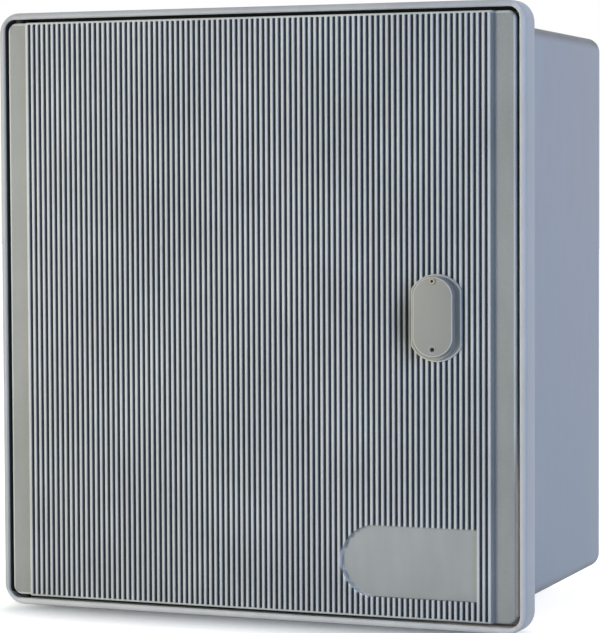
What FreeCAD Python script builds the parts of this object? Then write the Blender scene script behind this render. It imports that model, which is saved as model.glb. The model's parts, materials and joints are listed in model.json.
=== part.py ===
"""Electric meter box: a moulded tub with a flanged frame, a ribbed door and a covered quarter-turn lock.

Units are millimetres. X runs across the front, Y runs from the front back to the wall, and Z is up.
The origin is the centre of the back face, which lies against the wall, so the front has negative Y.
"""

import FreeCAD
import Part
import math
import os

# Clearances
RUN_CLEARANCE = 0.05  # radial, between a pin or spindle and its bore
SCREW_CLEARANCE = 0.05  # radial, between a screw and its hole
FREE_CLEARANCE = 0.3  # between faces that pass or press lightly on each other
OVERCUT = 1.0  # how far a cutting tool stands out of the face that it enters

# Frame: the flange round the mouth, with a rebate that the door lies in
FRAME_WIDTH = 384.0
FRAME_HEIGHT = 410.0
FRAME_DEPTH = 20.0
FRAME_CORNER = 14.5
FRAME_FRONT_ROUND = 3.0
FRAME_REAR_ROUND = 3.0
LIP_WALL = 4.5
LIP_INNER_CHAMFER = 0.8
OPENING_CORNER = 7.5
LEDGE_WALL = 3.5

# Tub: the drafted body behind the frame
BOX_DEPTH = 215.0
TUB_INSET = 13.5
TUB_WALL = 3.0
TUB_CORNER = 10.0
TUB_BACK_ROUND = 6.0
TUB_INNER_ROUND = 4.0
TUB_DRAFT_DEG = 1.0
TUB_NECK_CHAMFER = 2.0
BACK_WALL = 3.5

# Wall fixings and cable knock-outs
WALL_HOLE_DIAMETER = 8.0
WALL_HOLE_SPACING_X = 280.0
WALL_HOLE_SPACING_Z = 310.0
WALL_COLLAR_DIAMETER = 20.0
WALL_COLLAR_HEIGHT = 3.0
KNOCKOUT_DIAMETER = 40.0
KNOCKOUT_SPACING = 90.0
KNOCKOUT_COUNT = 3
KNOCKOUT_FROM_WALL = 95.0
KNOCKOUT_GROOVE_WIDTH = 2.0
KNOCKOUT_GROOVE_DEPTH = 1.6
REAR_KNOCKOUT_DIAMETER = 50.0
REAR_KNOCKOUT_BELOW_CENTRE = 118.0

# Mounting plate for the meter
PLATE_WIDTH = 240.0
PLATE_HEIGHT = 280.0
PLATE_THICKNESS = 4.0
PLATE_CORNER = 8.0
POST_DIAMETER = 14.0
POST_HEIGHT = 15.0
POST_EDGE_INSET = 15.0
PLATE_SCREW_DIAMETER = 4.5
PLATE_SCREW_DEPTH = 12.0
PLATE_SCREW_HEAD_DIAMETER = 9.0
PLATE_SCREW_HEAD_HEIGHT = 2.8
METER_HOLE_DIAMETER = 5.0
METER_HOLE_SPACING_X = 120.0
METER_HOLE_SPACING_Z = 160.0
METER_SLOT_LENGTH = 40.0
METER_SLOT_WIDTH = 6.0

# Door
DOOR_GAP = 2.5
DOOR_RECESS = 1.0
DOOR_SKIN = 3.0
DOOR_CORNER = 6.0
DOOR_EDGE_ROUND = 1.6
SKIRT_WALL = 3.0
SKIRT_DEPTH = 8.0
FIELD_MARGIN = 14.7
FIELD_RISE = 4.5
FIELD_RAMP = 1.2
FIELD_SIDE_ROUND = 0.7
FIELD_END_ROUND = 1.8
FIELD_FLOOR = 3.0
RIB_PITCH = 3.91
RIB_BORDER = 2.8
GROOVE_MOUTH = 1.9
GROOVE_FLOOR = 1.2
GROOVE_DEPTH = 3.0
GROOVE_END_MARGIN = 1.3
CREST_CHAMFER = 0.4
STIFFENER_WALL = 3.0
STIFFENER_HEIGHT = 7.0
STIFFENER_SPACING_X = 120.0
STIFFENER_SPACING_Z = 190.0

# Bare plate recessed into the ribs, near the lower corner on the lock side
PANEL_HEIGHT = 47.0
PANEL_LENGTH = 95.2
PANEL_ABOVE_EDGE = 37.1
PANEL_BELOW_GROOVES = 0.3
PANEL_RIBS_TO_EDGE = 2

# Door seal
SEAL_WIDTH = 4.0
SEAL_HEIGHT = 2.3
SEAL_RIB_WALL = 2.6

# Hinge
HINGE_INSET = 7.5
HINGE_SETBACK = 4.5
HINGE_PIN_DIAMETER = 4.0
HINGE_PIN_CHAMFER = 0.5
HINGE_SOCKET_DEPTH = 3.2
HINGE_LUG_HEIGHT = 18.0
HINGE_LUG_WIDTH = 13.0
HINGE_WASHER_DIAMETER = 6.6
HINGE_WASHER_THICKNESS = 2.3

# Lock
LOCK_FROM_EDGE = 52.7
CASE_BASE_WIDTH = 35.0
CASE_BASE_HEIGHT = 57.2
CASE_BASE_END_RISE = 10.0
CASE_BASE_THICKNESS = 1.8
CASE_BASE_CHAMFER = 0.8
CASE_NECK_WIDTH = 26.0
CASE_NECK_HEIGHT = 54.0
CASE_NECK_END_RISE = 10.5
CASE_RISE = 5.0
BARREL_DIAMETER = 20.0
BARREL_LENGTH = 20.5
KEY_RECESS_DIAMETER = 19.0
KEY_RECESS_DEPTH = 7.5
NUT_ACROSS_FLATS = 27.0
NUT_THICKNESS = 5.0
SPINDLE_DIAMETER = 12.0
SPINDLE_COLLAR_DIAMETER = 16.0
SPINDLE_COLLAR_THICKNESS = 2.0
KEY_STUD_SIZE = 9.0
KEY_STUD_ROUND = 1.0
KEY_STUD_SETBACK = 0.8
SQUARE_TAIL = 8.0
RING_SECTION = 1.8
RING_FROM_COLLAR = 5.0
CAM_TIP_CLEARANCE = 2.0
CAM_WIDTH = 16.0
CAM_TIP_WIDTH = 12.0
CAM_THICKNESS = 3.0
CAM_WASHER_DIAMETER = 14.0
CAM_WASHER_THICKNESS = 1.2
CAM_SCREW_DIAMETER = 5.0
CAM_SCREW_LENGTH = 9.0
CAM_SCREW_ACROSS_FLATS = 8.0
CAM_SCREW_HEAD_HEIGHT = 3.5

# Swinging cover over the key recess
COVER_WIDTH = 27.5
COVER_HEIGHT = 52.2
COVER_END_RISE = 11.3
COVER_ABOVE_CENTRE = 1.0
COVER_STANDOFF = 0.6
COVER_THICKNESS = 3.0
COVER_EDGE_ROUND = 1.1
COVER_PIVOT_ABOVE = 24.2
COVER_SEAL_HOLE_BELOW = 20.2
COVER_SEAL_HOLE_DIAMETER = 2.8
COVER_EYELET_DIAMETER = 5.2
COVER_EYELET_RISE = 0.5
SEAL_HOLE_DEPTH = 3.0
RIVET_SHANK_DIAMETER = 2.8
RIVET_HEAD_DIAMETER = 4.6
RIVET_HEAD_HEIGHT = 0.8
RIVET_BORE_DIAMETER = 1.6
RIVET_DEPTH = 3.5

# Strike that the cam turns behind
STRIKE_SHEET = 1.5
STRIKE_HEIGHT = 24.0
STRIKE_HOOK = 10.0
STRIKE_LENGTH = 34.0
STRIKE_PAD_MARGIN = 2.0
STRIKE_PAD_RISE = 5.0
STRIKE_CAM_CLEARANCE = 0.7
STRIKE_SCREW_SPACING = 13.0
STRIKE_SCREW_FROM_HOOK = 21.0
STRIKE_SCREW_DIAMETER = 3.5
STRIKE_SCREW_DEPTH = 6.0
STRIKE_SCREW_HEAD_DIAMETER = 6.5
STRIKE_SCREW_HEAD_HEIGHT = 2.0

# Planes from front to back
LIP_Y = -BOX_DEPTH
FLANGE_REAR_Y = LIP_Y + FRAME_DEPTH
LEDGE_Y = FLANGE_REAR_Y - LEDGE_WALL
STRIP_Y = LIP_Y + DOOR_RECESS
SKIN_BACK_Y = STRIP_Y + DOOR_SKIN
SKIRT_BACK_Y = STRIP_Y + SKIRT_DEPTH
CREST_Y = STRIP_Y - FIELD_RISE
GROOVE_Y = CREST_Y + GROOVE_DEPTH
FIELD_BACK_Y = GROOVE_Y + FIELD_FLOOR
PANEL_Y = GROOVE_Y + PANEL_BELOW_GROOVES
SEAL_Y = LEDGE_Y - SEAL_HEIGHT
CASE_FRONT_Y = CREST_Y - CASE_RISE
CASE_BASE_Y = CREST_Y - CASE_BASE_THICKNESS
BARREL_REAR_Y = CREST_Y + BARREL_LENGTH
RECESS_Y = CASE_FRONT_Y + KEY_RECESS_DEPTH
COVER_BACK_Y = CASE_FRONT_Y - COVER_STANDOFF
COVER_FRONT_Y = COVER_BACK_Y - COVER_THICKNESS
CAM_Y = BARREL_REAR_Y + FREE_CLEARANCE
CAM_BACK_Y = CAM_Y + CAM_THICKNESS
STRIKE_Y = CAM_Y - STRIKE_CAM_CLEARANCE - STRIKE_SHEET
BACK_INNER_Y = -BACK_WALL
PLATE_BACK_Y = BACK_INNER_Y - POST_HEIGHT
PLATE_FRONT_Y = PLATE_BACK_Y - PLATE_THICKNESS

# Outlines
DRAFT = math.tan(math.radians(TUB_DRAFT_DEG))
OPENING_WIDTH = FRAME_WIDTH - 2 * LIP_WALL
OPENING_HEIGHT = FRAME_HEIGHT - 2 * LIP_WALL
DOOR_WIDTH = OPENING_WIDTH - 2 * DOOR_GAP
DOOR_HEIGHT = OPENING_HEIGHT - 2 * DOOR_GAP
TUB_WIDTH = FRAME_WIDTH - 2 * TUB_INSET
TUB_HEIGHT = FRAME_HEIGHT - 2 * TUB_INSET
MOUTH_WIDTH = TUB_WIDTH - 2 * TUB_WALL + 2 * DRAFT * LEDGE_WALL
MOUTH_HEIGHT = TUB_HEIGHT - 2 * TUB_WALL + 2 * DRAFT * LEDGE_WALL
MOUTH_CORNER = TUB_CORNER - TUB_WALL
FIELD_FOOT_X = DOOR_WIDTH / 2 - FIELD_MARGIN
FIELD_CREST_X = FIELD_FOOT_X - FIELD_RAMP
LOCK_X = DOOR_WIDTH / 2 - LOCK_FROM_EDGE
HINGE_X = HINGE_INSET - DOOR_WIDTH / 2
HINGE_Y = STRIP_Y + HINGE_SETBACK
STRIKE_X = MOUTH_WIDTH / 2 - STRIKE_PAD_RISE
CAM_REACH = STRIKE_X - STRIKE_SHEET - CAM_TIP_CLEARANCE - LOCK_X
GROOVE_COUNT = 1 + math.floor(2 * (FIELD_CREST_X - RIB_BORDER) / RIB_PITCH + 1e-6)
LAST_GROOVE_X = (GROOVE_COUNT - 1) * RIB_PITCH / 2
PANEL_RIGHT_X = LAST_GROOVE_X - PANEL_RIBS_TO_EDGE * RIB_PITCH + GROOVE_MOUTH / 2
PANEL_Z = PANEL_ABOVE_EDGE - DOOR_HEIGHT / 2


def point(x, y, z):
    return FreeCAD.Vector(x, y, z)


def closed_wire(corners, bulges):
    """A wire through the corners.

    A bulge is the middle point of an arc to the next corner, or None for a line.
    """
    edges = []
    for number, (start, middle) in enumerate(zip(corners, bulges)):
        end = corners[(number + 1) % len(corners)]
        curve = Part.LineSegment(start, end) if middle is None else Part.Arc(start, middle, end)
        edges.append(curve.toShape())
    return Part.Wire(edges)


def rounded_rectangle(width, height, radius, y):
    """An upright rounded rectangle, centred on the Y axis, in the plane at y."""
    half_w = width / 2
    half_h = height / 2
    diagonal = radius * (1 - math.sqrt(0.5))
    corners = []
    bulges = []
    for sign_x, sign_z, upright_first in ((1, -1, False), (1, 1, True), (-1, 1, False), (-1, -1, True)):
        level = point(sign_x * (half_w - radius), y, sign_z * half_h)
        upright = point(sign_x * half_w, y, sign_z * (half_h - radius))
        corners += [upright, level] if upright_first else [level, upright]
        bulges += [point(sign_x * (half_w - diagonal), y, sign_z * (half_h - diagonal)), None]
    return closed_wire(corners, bulges)


def pill(width, height, end_rise, x, z, y):
    """An upright oval with straight sides and arched ends, in the plane at y."""
    half_w = width / 2
    straight = height / 2 - end_rise
    corners = [
        point(x + half_w, y, z - straight),
        point(x + half_w, y, z + straight),
        point(x - half_w, y, z + straight),
        point(x - half_w, y, z - straight),
    ]
    bulges = [None, point(x, y, z + height / 2), None, point(x, y, z - height / 2)]
    return closed_wire(corners, bulges)


def push(wire, y_back):
    """The flat wire's face, pushed back to the plane at y_back."""
    face = Part.Face(wire)
    return face.extrude(point(0, y_back - wire.BoundBox.YMin, 0))


def slab(width, height, radius, y_front, y_back):
    return push(rounded_rectangle(width, height, radius, y_front), y_back)


def block(x_low, x_high, y_low, y_high, z_low, z_high):
    return Part.makeBox(x_high - x_low, y_high - y_low, z_high - z_low, point(x_low, y_low, z_low))


def rod(diameter, x, z, y_front, y_back):
    """A round bar along Y."""
    return Part.makeCylinder(diameter / 2, y_back - y_front, point(x, y_front, z), point(0, 1, 0))


def upright_rod(diameter, x, y, z_low, z_high):
    return Part.makeCylinder(diameter / 2, z_high - z_low, point(x, y, z_low), point(0, 0, 1))


def polygon_bar(sides, across_flats, x, z, y_front, y_back):
    """A bar along Y with a regular section, one flat downwards."""
    radius = across_flats / 2 / math.cos(math.pi / sides)
    corners = []
    for number in range(sides):
        angle = -math.pi / 2 + math.pi / sides + number * 2 * math.pi / sides
        corners.append(point(x + radius * math.cos(angle), y_front, z + radius * math.sin(angle)))
    return push(closed_wire(corners, [None] * sides), y_back)


def edges_in_plane(shape, y, half_width, half_height):
    """The edges that lie in the plane at y, inside a rectangle round the Y axis."""
    slack = 0.01
    found = []
    for edge in shape.Edges:
        box = edge.BoundBox
        flat = abs(box.YMin - y) < slack and abs(box.YMax - y) < slack
        inside_x = max(box.XMax, -box.XMin) < half_width + slack
        inside_z = max(box.ZMax, -box.ZMin) < half_height + slack
        if flat and inside_x and inside_z:
            found.append(edge)
    return found


def corner_points(spacing_x, spacing_z):
    return [(sx * spacing_x / 2, sz * spacing_z / 2) for sx in (-1, 1) for sz in (-1, 1)]


def drafted(width, height, radius, y_front, y_back):
    """A slab that narrows towards the wall. The sizes given are those at the flange's rear face."""
    wires = []
    for y in (y_front, y_back):
        shrink = 2 * DRAFT * (y - FLANGE_REAR_Y)
        wires.append(rounded_rectangle(width - shrink, height - shrink, radius, y))
    return Part.makeLoft(wires, True, True)


def fused(first, others):
    return first.multiFuse(others).removeSplitter()


def without(first, others):
    return first.cut(Part.makeCompound(others))


def save(name, shape):
    shape.exportStep(os.path.join("parts", name + ".step"))


# Box body, moulded in one piece


def frame_block():
    flange = slab(FRAME_WIDTH, FRAME_HEIGHT, FRAME_CORNER, LIP_Y, FLANGE_REAR_Y)
    for y, radius in ((LIP_Y, FRAME_FRONT_ROUND), (FLANGE_REAR_Y, FRAME_REAR_ROUND)):
        flange = flange.makeFillet(radius, edges_in_plane(flange, y, FRAME_WIDTH / 2, FRAME_HEIGHT / 2))
    return flange


def tub_outside():
    tub = drafted(TUB_WIDTH, TUB_HEIGHT, TUB_CORNER, LEDGE_Y, 0)
    return tub.makeFillet(TUB_BACK_ROUND, edges_in_plane(tub, 0, TUB_WIDTH / 2, TUB_HEIGHT / 2))


def tub_inside():
    width = TUB_WIDTH - 2 * TUB_WALL
    height = TUB_HEIGHT - 2 * TUB_WALL
    hollow = drafted(width, height, MOUTH_CORNER, LEDGE_Y - OVERCUT, BACK_INNER_Y)
    return hollow.makeFillet(TUB_INNER_ROUND, edges_in_plane(hollow, BACK_INNER_Y, width / 2, height / 2))


def knockout_rings():
    """Ring grooves that leave a thin web to break out, in the bottom and in the back."""
    bottom_z = -TUB_HEIGHT / 2 + DRAFT * (-KNOCKOUT_FROM_WALL - FLANGE_REAR_Y)
    groove_top = bottom_z + KNOCKOUT_GROOVE_DEPTH
    inner = KNOCKOUT_DIAMETER - 2 * KNOCKOUT_GROOVE_WIDTH
    rings = []
    for number in range(KNOCKOUT_COUNT):
        x = (number - (KNOCKOUT_COUNT - 1) / 2) * KNOCKOUT_SPACING
        place = (x, -KNOCKOUT_FROM_WALL, -FRAME_HEIGHT / 2, groove_top)
        rings.append(upright_rod(KNOCKOUT_DIAMETER, *place).cut(upright_rod(inner, *place)))
    rear_place = (0, -REAR_KNOCKOUT_BELOW_CENTRE, -KNOCKOUT_GROOVE_DEPTH, OVERCUT)
    rear_inner = REAR_KNOCKOUT_DIAMETER - 2 * KNOCKOUT_GROOVE_WIDTH
    rings.append(rod(REAR_KNOCKOUT_DIAMETER, *rear_place).cut(rod(rear_inner, *rear_place)))
    return rings


def strike_pad():
    half = STRIKE_HEIGHT / 2 + STRIKE_PAD_MARGIN
    x_high = TUB_WIDTH / 2 - TUB_WALL / 2 - DRAFT * FRAME_DEPTH
    return block(STRIKE_X, x_high, LEDGE_Y, STRIKE_Y + STRIKE_LENGTH + STRIKE_PAD_MARGIN, -half, half)


def strike_screw_points():
    y = STRIKE_Y + STRIKE_SCREW_FROM_HOOK
    return [(y, sign * STRIKE_SCREW_SPACING / 2) for sign in (-1, 1)]


def along_x(diameter, x_low, x_high, y, z):
    return Part.makeCylinder(diameter / 2, x_high - x_low, point(x_low, y, z), point(1, 0, 0))


def box_body():
    body = fused(frame_block(), [tub_outside()])
    neck = edges_in_plane(body, FLANGE_REAR_Y, TUB_WIDTH / 2, TUB_HEIGHT / 2)
    body = body.makeChamfer(TUB_NECK_CHAMFER, neck)
    rebate = slab(OPENING_WIDTH, OPENING_HEIGHT, OPENING_CORNER, LIP_Y - OVERCUT, LEDGE_Y)
    body = without(body, [rebate, tub_inside()])
    mouth = edges_in_plane(body, LIP_Y, OPENING_WIDTH / 2, OPENING_HEIGHT / 2)
    body = body.makeChamfer(LIP_INNER_CHAMFER, mouth)

    posts = []
    post_holes = []
    for x, z in plate_screw_points():
        posts.append(rod(POST_DIAMETER, x, z, PLATE_BACK_Y, BACK_INNER_Y + BACK_WALL / 2))
        hole_end = PLATE_BACK_Y + PLATE_SCREW_DEPTH
        post_holes.append(rod(PLATE_SCREW_DIAMETER, x, z, PLATE_BACK_Y - OVERCUT, hole_end))
    collars = []
    wall_holes = []
    for x, z in corner_points(WALL_HOLE_SPACING_X, WALL_HOLE_SPACING_Z):
        collar_front = BACK_INNER_Y - WALL_COLLAR_HEIGHT
        collars.append(rod(WALL_COLLAR_DIAMETER, x, z, collar_front, BACK_INNER_Y + BACK_WALL / 2))
        wall_holes.append(rod(WALL_HOLE_DIAMETER, x, z, collar_front - OVERCUT, OVERCUT))
    body = fused(body, posts + collars + [strike_pad()])

    strike_holes = []
    for y, z in strike_screw_points():
        hole_end = STRIKE_X + STRIKE_SCREW_DEPTH
        strike_holes.append(along_x(STRIKE_SCREW_DIAMETER, STRIKE_X - OVERCUT, hole_end, y, z))
    sockets = []
    for sign in (-1, 1):
        inner = sign * OPENING_HEIGHT / 2
        ends = sorted((inner - sign * OVERCUT, inner + sign * HINGE_SOCKET_DEPTH))
        sockets.append(upright_rod(HINGE_PIN_DIAMETER + 2 * RUN_CLEARANCE, HINGE_X, HINGE_Y, *ends))
    return without(body, post_holes + wall_holes + strike_holes + sockets + knockout_rings())


def door_seal():
    grow = 2 * SEAL_WIDTH
    ring = slab(MOUTH_WIDTH + grow, MOUTH_HEIGHT + grow, MOUTH_CORNER + SEAL_WIDTH, SEAL_Y, LEDGE_Y)
    return ring.cut(slab(MOUTH_WIDTH, MOUTH_HEIGHT, MOUTH_CORNER, SEAL_Y, LEDGE_Y))


# Mounting plate


def plate_screw_points():
    return corner_points(PLATE_WIDTH - 2 * POST_EDGE_INSET, PLATE_HEIGHT - 2 * POST_EDGE_INSET)


def mounting_plate():
    plate = slab(PLATE_WIDTH, PLATE_HEIGHT, PLATE_CORNER, PLATE_FRONT_Y, PLATE_BACK_Y)
    holes = []
    for x, z in plate_screw_points():
        holes.append(rod(PLATE_SCREW_DIAMETER, x, z, PLATE_FRONT_Y - OVERCUT, PLATE_BACK_Y + OVERCUT))
    for x, z in corner_points(METER_HOLE_SPACING_X, METER_HOLE_SPACING_Z):
        holes.append(rod(METER_HOLE_DIAMETER, x, z, PLATE_FRONT_Y - OVERCUT, PLATE_BACK_Y + OVERCUT))
    slot = pill(METER_SLOT_WIDTH, METER_SLOT_LENGTH, METER_SLOT_WIDTH / 2, 0, 0, PLATE_FRONT_Y - OVERCUT)
    holes.append(push(slot, PLATE_BACK_Y + OVERCUT))
    return without(plate, holes)


def plate_screws():
    shank = PLATE_SCREW_DIAMETER - 2 * SCREW_CLEARANCE
    tip = PLATE_BACK_Y + PLATE_SCREW_DEPTH - FREE_CLEARANCE
    screws = []
    for x, z in plate_screw_points():
        head = rod(PLATE_SCREW_HEAD_DIAMETER, x, z, PLATE_FRONT_Y - PLATE_SCREW_HEAD_HEIGHT, PLATE_FRONT_Y)
        front = edges_in_plane(head, PLATE_FRONT_Y - PLATE_SCREW_HEAD_HEIGHT, PLATE_WIDTH, PLATE_HEIGHT)
        head = head.makeChamfer(PLATE_SCREW_HEAD_HEIGHT / 2, front)
        screws.append(head.fuse(rod(shank, x, z, PLATE_FRONT_Y, tip)))
    return Part.makeCompound(screws)


# Door, moulded in one piece


def groove_cutter(x):
    """One groove between two ribs: a tapered trough whose mouth flares into the chamfered crests."""
    half_mouth = GROOVE_MOUTH / 2
    half_floor = GROOVE_FLOOR / 2
    z = GROOVE_END_MARGIN - DOOR_HEIGHT / 2
    half_flare = half_mouth + CREST_CHAMFER
    above = CREST_Y - OVERCUT
    corners = [
        point(x - half_floor, GROOVE_Y, z),
        point(x + half_floor, GROOVE_Y, z),
        point(x + half_mouth, CREST_Y + CREST_CHAMFER, z),
        point(x + half_flare, CREST_Y, z),
        point(x + half_flare, above, z),
        point(x - half_flare, above, z),
        point(x - half_flare, CREST_Y, z),
        point(x - half_mouth, CREST_Y + CREST_CHAMFER, z),
    ]
    return Part.Face(closed_wire(corners, [None] * len(corners))).extrude(point(0, 0, -2 * z))


def rib_field():
    """The raised field in front of the skin, before its grooves are cut."""
    z = -DOOR_HEIGHT / 2
    corners = [
        point(-FIELD_FOOT_X, SKIN_BACK_Y, z),
        point(-FIELD_FOOT_X, STRIP_Y, z),
        point(-FIELD_CREST_X, CREST_Y, z),
        point(FIELD_CREST_X, CREST_Y, z),
        point(FIELD_FOOT_X, STRIP_Y, z),
        point(FIELD_FOOT_X, SKIN_BACK_Y, z),
    ]
    field = Part.Face(closed_wire(corners, [None] * len(corners))).extrude(point(0, 0, DOOR_HEIGHT))
    crest_edges = edges_in_plane(field, CREST_Y, FIELD_CREST_X, DOOR_HEIGHT / 2)
    ends = [edge for edge in crest_edges if edge.BoundBox.ZLength < DOOR_HEIGHT / 2]
    field = field.makeFillet(FIELD_END_ROUND, ends)
    crest_edges = edges_in_plane(field, CREST_Y, FIELD_CREST_X, DOOR_HEIGHT / 2)
    sides = [edge for edge in crest_edges if edge.BoundBox.XLength < DOOR_WIDTH / 2]
    return field.makeFillet(FIELD_SIDE_ROUND, sides)


def bare_panel_cutter():
    """A recess with one round end, where the ribs stop and the door is flat."""
    half = PANEL_HEIGHT / 2
    left_x = PANEL_RIGHT_X - PANEL_LENGTH
    y = CREST_Y - OVERCUT
    corners = [
        point(left_x + half, y, PANEL_Z - half),
        point(PANEL_RIGHT_X, y, PANEL_Z - half),
        point(PANEL_RIGHT_X, y, PANEL_Z + half),
        point(left_x + half, y, PANEL_Z + half),
    ]
    return push(closed_wire(corners, [None, None, None, point(left_x, y, PANEL_Z)]), PANEL_Y)


def hinge_lugs():
    """Blocks in the two hinge corners, which the pins are pressed into."""
    lugs = []
    for sign in (-1, 1):
        ends = sorted((sign * DOOR_HEIGHT / 2, sign * (DOOR_HEIGHT / 2 - HINGE_LUG_HEIGHT)))
        lugs.append(block(-DOOR_WIDTH / 2, HINGE_LUG_WIDTH - DOOR_WIDTH / 2, STRIP_Y, SKIRT_BACK_Y, *ends))
    outline = slab(DOOR_WIDTH, DOOR_HEIGHT, DOOR_CORNER, STRIP_Y + DOOR_EDGE_ROUND, SKIRT_BACK_Y)
    return [lug.common(outline) for lug in lugs]


def seal_rib():
    """The rib on the back of the door that presses on the seal all round."""
    centre_offset = SEAL_WIDTH / 2
    back_y = SEAL_Y - FREE_CLEARANCE
    rings = []
    for side in (1, -1):
        grow = 2 * centre_offset + side * SEAL_RIB_WALL
        corner = MOUTH_CORNER + grow / 2
        rings.append(slab(MOUTH_WIDTH + grow, MOUTH_HEIGHT + grow, corner, SKIN_BACK_Y, back_y))
    return rings[0].cut(rings[1])


def stiffeners():
    """Ribs across the back of the door, which end in the seal rib."""
    back_y = FIELD_BACK_Y + STIFFENER_HEIGHT
    half_w = MOUTH_WIDTH / 2 + SEAL_WIDTH / 2
    half_h = MOUTH_HEIGHT / 2 + SEAL_WIDTH / 2
    half_wall = STIFFENER_WALL / 2
    ribs = []
    for sign in (-1, 1):
        z = sign * STIFFENER_SPACING_Z / 2
        ribs.append(block(-half_w, half_w, FIELD_BACK_Y, back_y, z - half_wall, z + half_wall))
        x = sign * STIFFENER_SPACING_X / 2
        ribs.append(block(x - half_wall, x + half_wall, FIELD_BACK_Y, back_y, -half_h, half_h))
    return ribs


def door_panel():
    skin = slab(DOOR_WIDTH, DOOR_HEIGHT, DOOR_CORNER, STRIP_Y, SKIN_BACK_Y)
    skin = skin.makeFillet(DOOR_EDGE_ROUND, edges_in_plane(skin, STRIP_Y, DOOR_WIDTH / 2, DOOR_HEIGHT / 2))
    skirt = slab(DOOR_WIDTH, DOOR_HEIGHT, DOOR_CORNER, SKIN_BACK_Y, SKIRT_BACK_Y)
    skirt_hollow = (DOOR_WIDTH - 2 * SKIRT_WALL, DOOR_HEIGHT - 2 * SKIRT_WALL, DOOR_CORNER - SKIRT_WALL)
    skirt = skirt.cut(slab(*skirt_hollow, SKIN_BACK_Y, SKIRT_BACK_Y))
    front = skin.fuse(rib_field())
    hollow_height = MOUTH_HEIGHT - 2 * SEAL_RIB_WALL
    hollow = slab(2 * FIELD_CREST_X, hollow_height, DOOR_CORNER, FIELD_BACK_Y, SKIN_BACK_Y + OVERCUT)
    grooves = [groove_cutter(number * RIB_PITCH - LAST_GROOVE_X) for number in range(GROOVE_COUNT)]
    front = without(front, grooves + [hollow, bare_panel_cutter()])
    lock_seat = push(case_base_outline(CREST_Y), FIELD_BACK_Y)
    door = fused(front, [skirt, seal_rib(), lock_seat] + stiffeners() + hinge_lugs())

    barrel_bore = BARREL_DIAMETER + 2 * RUN_CLEARANCE
    barrel_hole = rod(barrel_bore, LOCK_X, 0, CREST_Y - OVERCUT, SKIN_BACK_Y + OVERCUT)
    bores = []
    for sign in (-1, 1):
        outer = sign * DOOR_HEIGHT / 2
        ends = sorted((outer + sign * OVERCUT, outer - sign * HINGE_LUG_HEIGHT))
        bores.append(upright_rod(HINGE_PIN_DIAMETER + 2 * RUN_CLEARANCE, HINGE_X, HINGE_Y, *ends))
    return without(door, [barrel_hole] + bores)


# Hinge hardware


def hinge_pin(sign):
    tip = sign * (OPENING_HEIGHT / 2 + HINGE_SOCKET_DEPTH - FREE_CLEARANCE)
    tail = sign * (DOOR_HEIGHT / 2 - HINGE_LUG_HEIGHT)
    pin = upright_rod(HINGE_PIN_DIAMETER, HINGE_X, HINGE_Y, *sorted((tip, tail)))
    rims = [edge for edge in pin.Edges if edge.Closed]
    return pin.makeChamfer(HINGE_PIN_CHAMFER, rims)


def hinge_washer(sign):
    middle = sign * (OPENING_HEIGHT / 2 - DOOR_GAP / 2)
    ends = (middle - HINGE_WASHER_THICKNESS / 2, middle + HINGE_WASHER_THICKNESS / 2)
    washer = upright_rod(HINGE_WASHER_DIAMETER, HINGE_X, HINGE_Y, *ends)
    return washer.cut(upright_rod(HINGE_PIN_DIAMETER + 2 * RUN_CLEARANCE, HINGE_X, HINGE_Y, *ends))


# Lock


def case_base_outline(y):
    return pill(CASE_BASE_WIDTH, CASE_BASE_HEIGHT, CASE_BASE_END_RISE, LOCK_X, 0, y)


def lock_case():
    """A flanged housing whose neck stands in from the cover, with a barrel through the door."""
    base = push(case_base_outline(CASE_BASE_Y), CREST_Y)
    base = base.makeChamfer(CASE_BASE_CHAMFER, edges_in_plane(base, CASE_BASE_Y, DOOR_WIDTH, DOOR_HEIGHT))
    neck = pill(CASE_NECK_WIDTH, CASE_NECK_HEIGHT, CASE_NECK_END_RISE, LOCK_X, 0, CASE_FRONT_Y)
    barrel = rod(BARREL_DIAMETER, LOCK_X, 0, CREST_Y - OVERCUT, BARREL_REAR_Y)
    case = fused(base, [push(neck, CREST_Y), barrel])
    cuts = [
        rod(KEY_RECESS_DIAMETER, LOCK_X, 0, CASE_FRONT_Y - OVERCUT, RECESS_Y),
        rod(SPINDLE_DIAMETER + 2 * RUN_CLEARANCE, LOCK_X, 0, RECESS_Y - OVERCUT, BARREL_REAR_Y + OVERCUT),
        rod(
            RIVET_SHANK_DIAMETER + 2 * RUN_CLEARANCE,
            LOCK_X,
            COVER_PIVOT_ABOVE,
            CASE_FRONT_Y - OVERCUT,
            CASE_FRONT_Y + RIVET_DEPTH,
        ),
        rod(
            COVER_SEAL_HOLE_DIAMETER,
            LOCK_X,
            -COVER_SEAL_HOLE_BELOW,
            CASE_FRONT_Y - OVERCUT,
            CASE_FRONT_Y + SEAL_HOLE_DEPTH,
        ),
    ]
    return without(case, cuts)


def lock_nut():
    nut = polygon_bar(6, NUT_ACROSS_FLATS, LOCK_X, 0, FIELD_BACK_Y, FIELD_BACK_Y + NUT_THICKNESS)
    bore = BARREL_DIAMETER + 2 * RUN_CLEARANCE
    return nut.cut(rod(bore, LOCK_X, 0, FIELD_BACK_Y - OVERCUT, FIELD_BACK_Y + NUT_THICKNESS + OVERCUT))


def ring_groove_y():
    return RECESS_Y + RING_FROM_COLLAR


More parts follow.
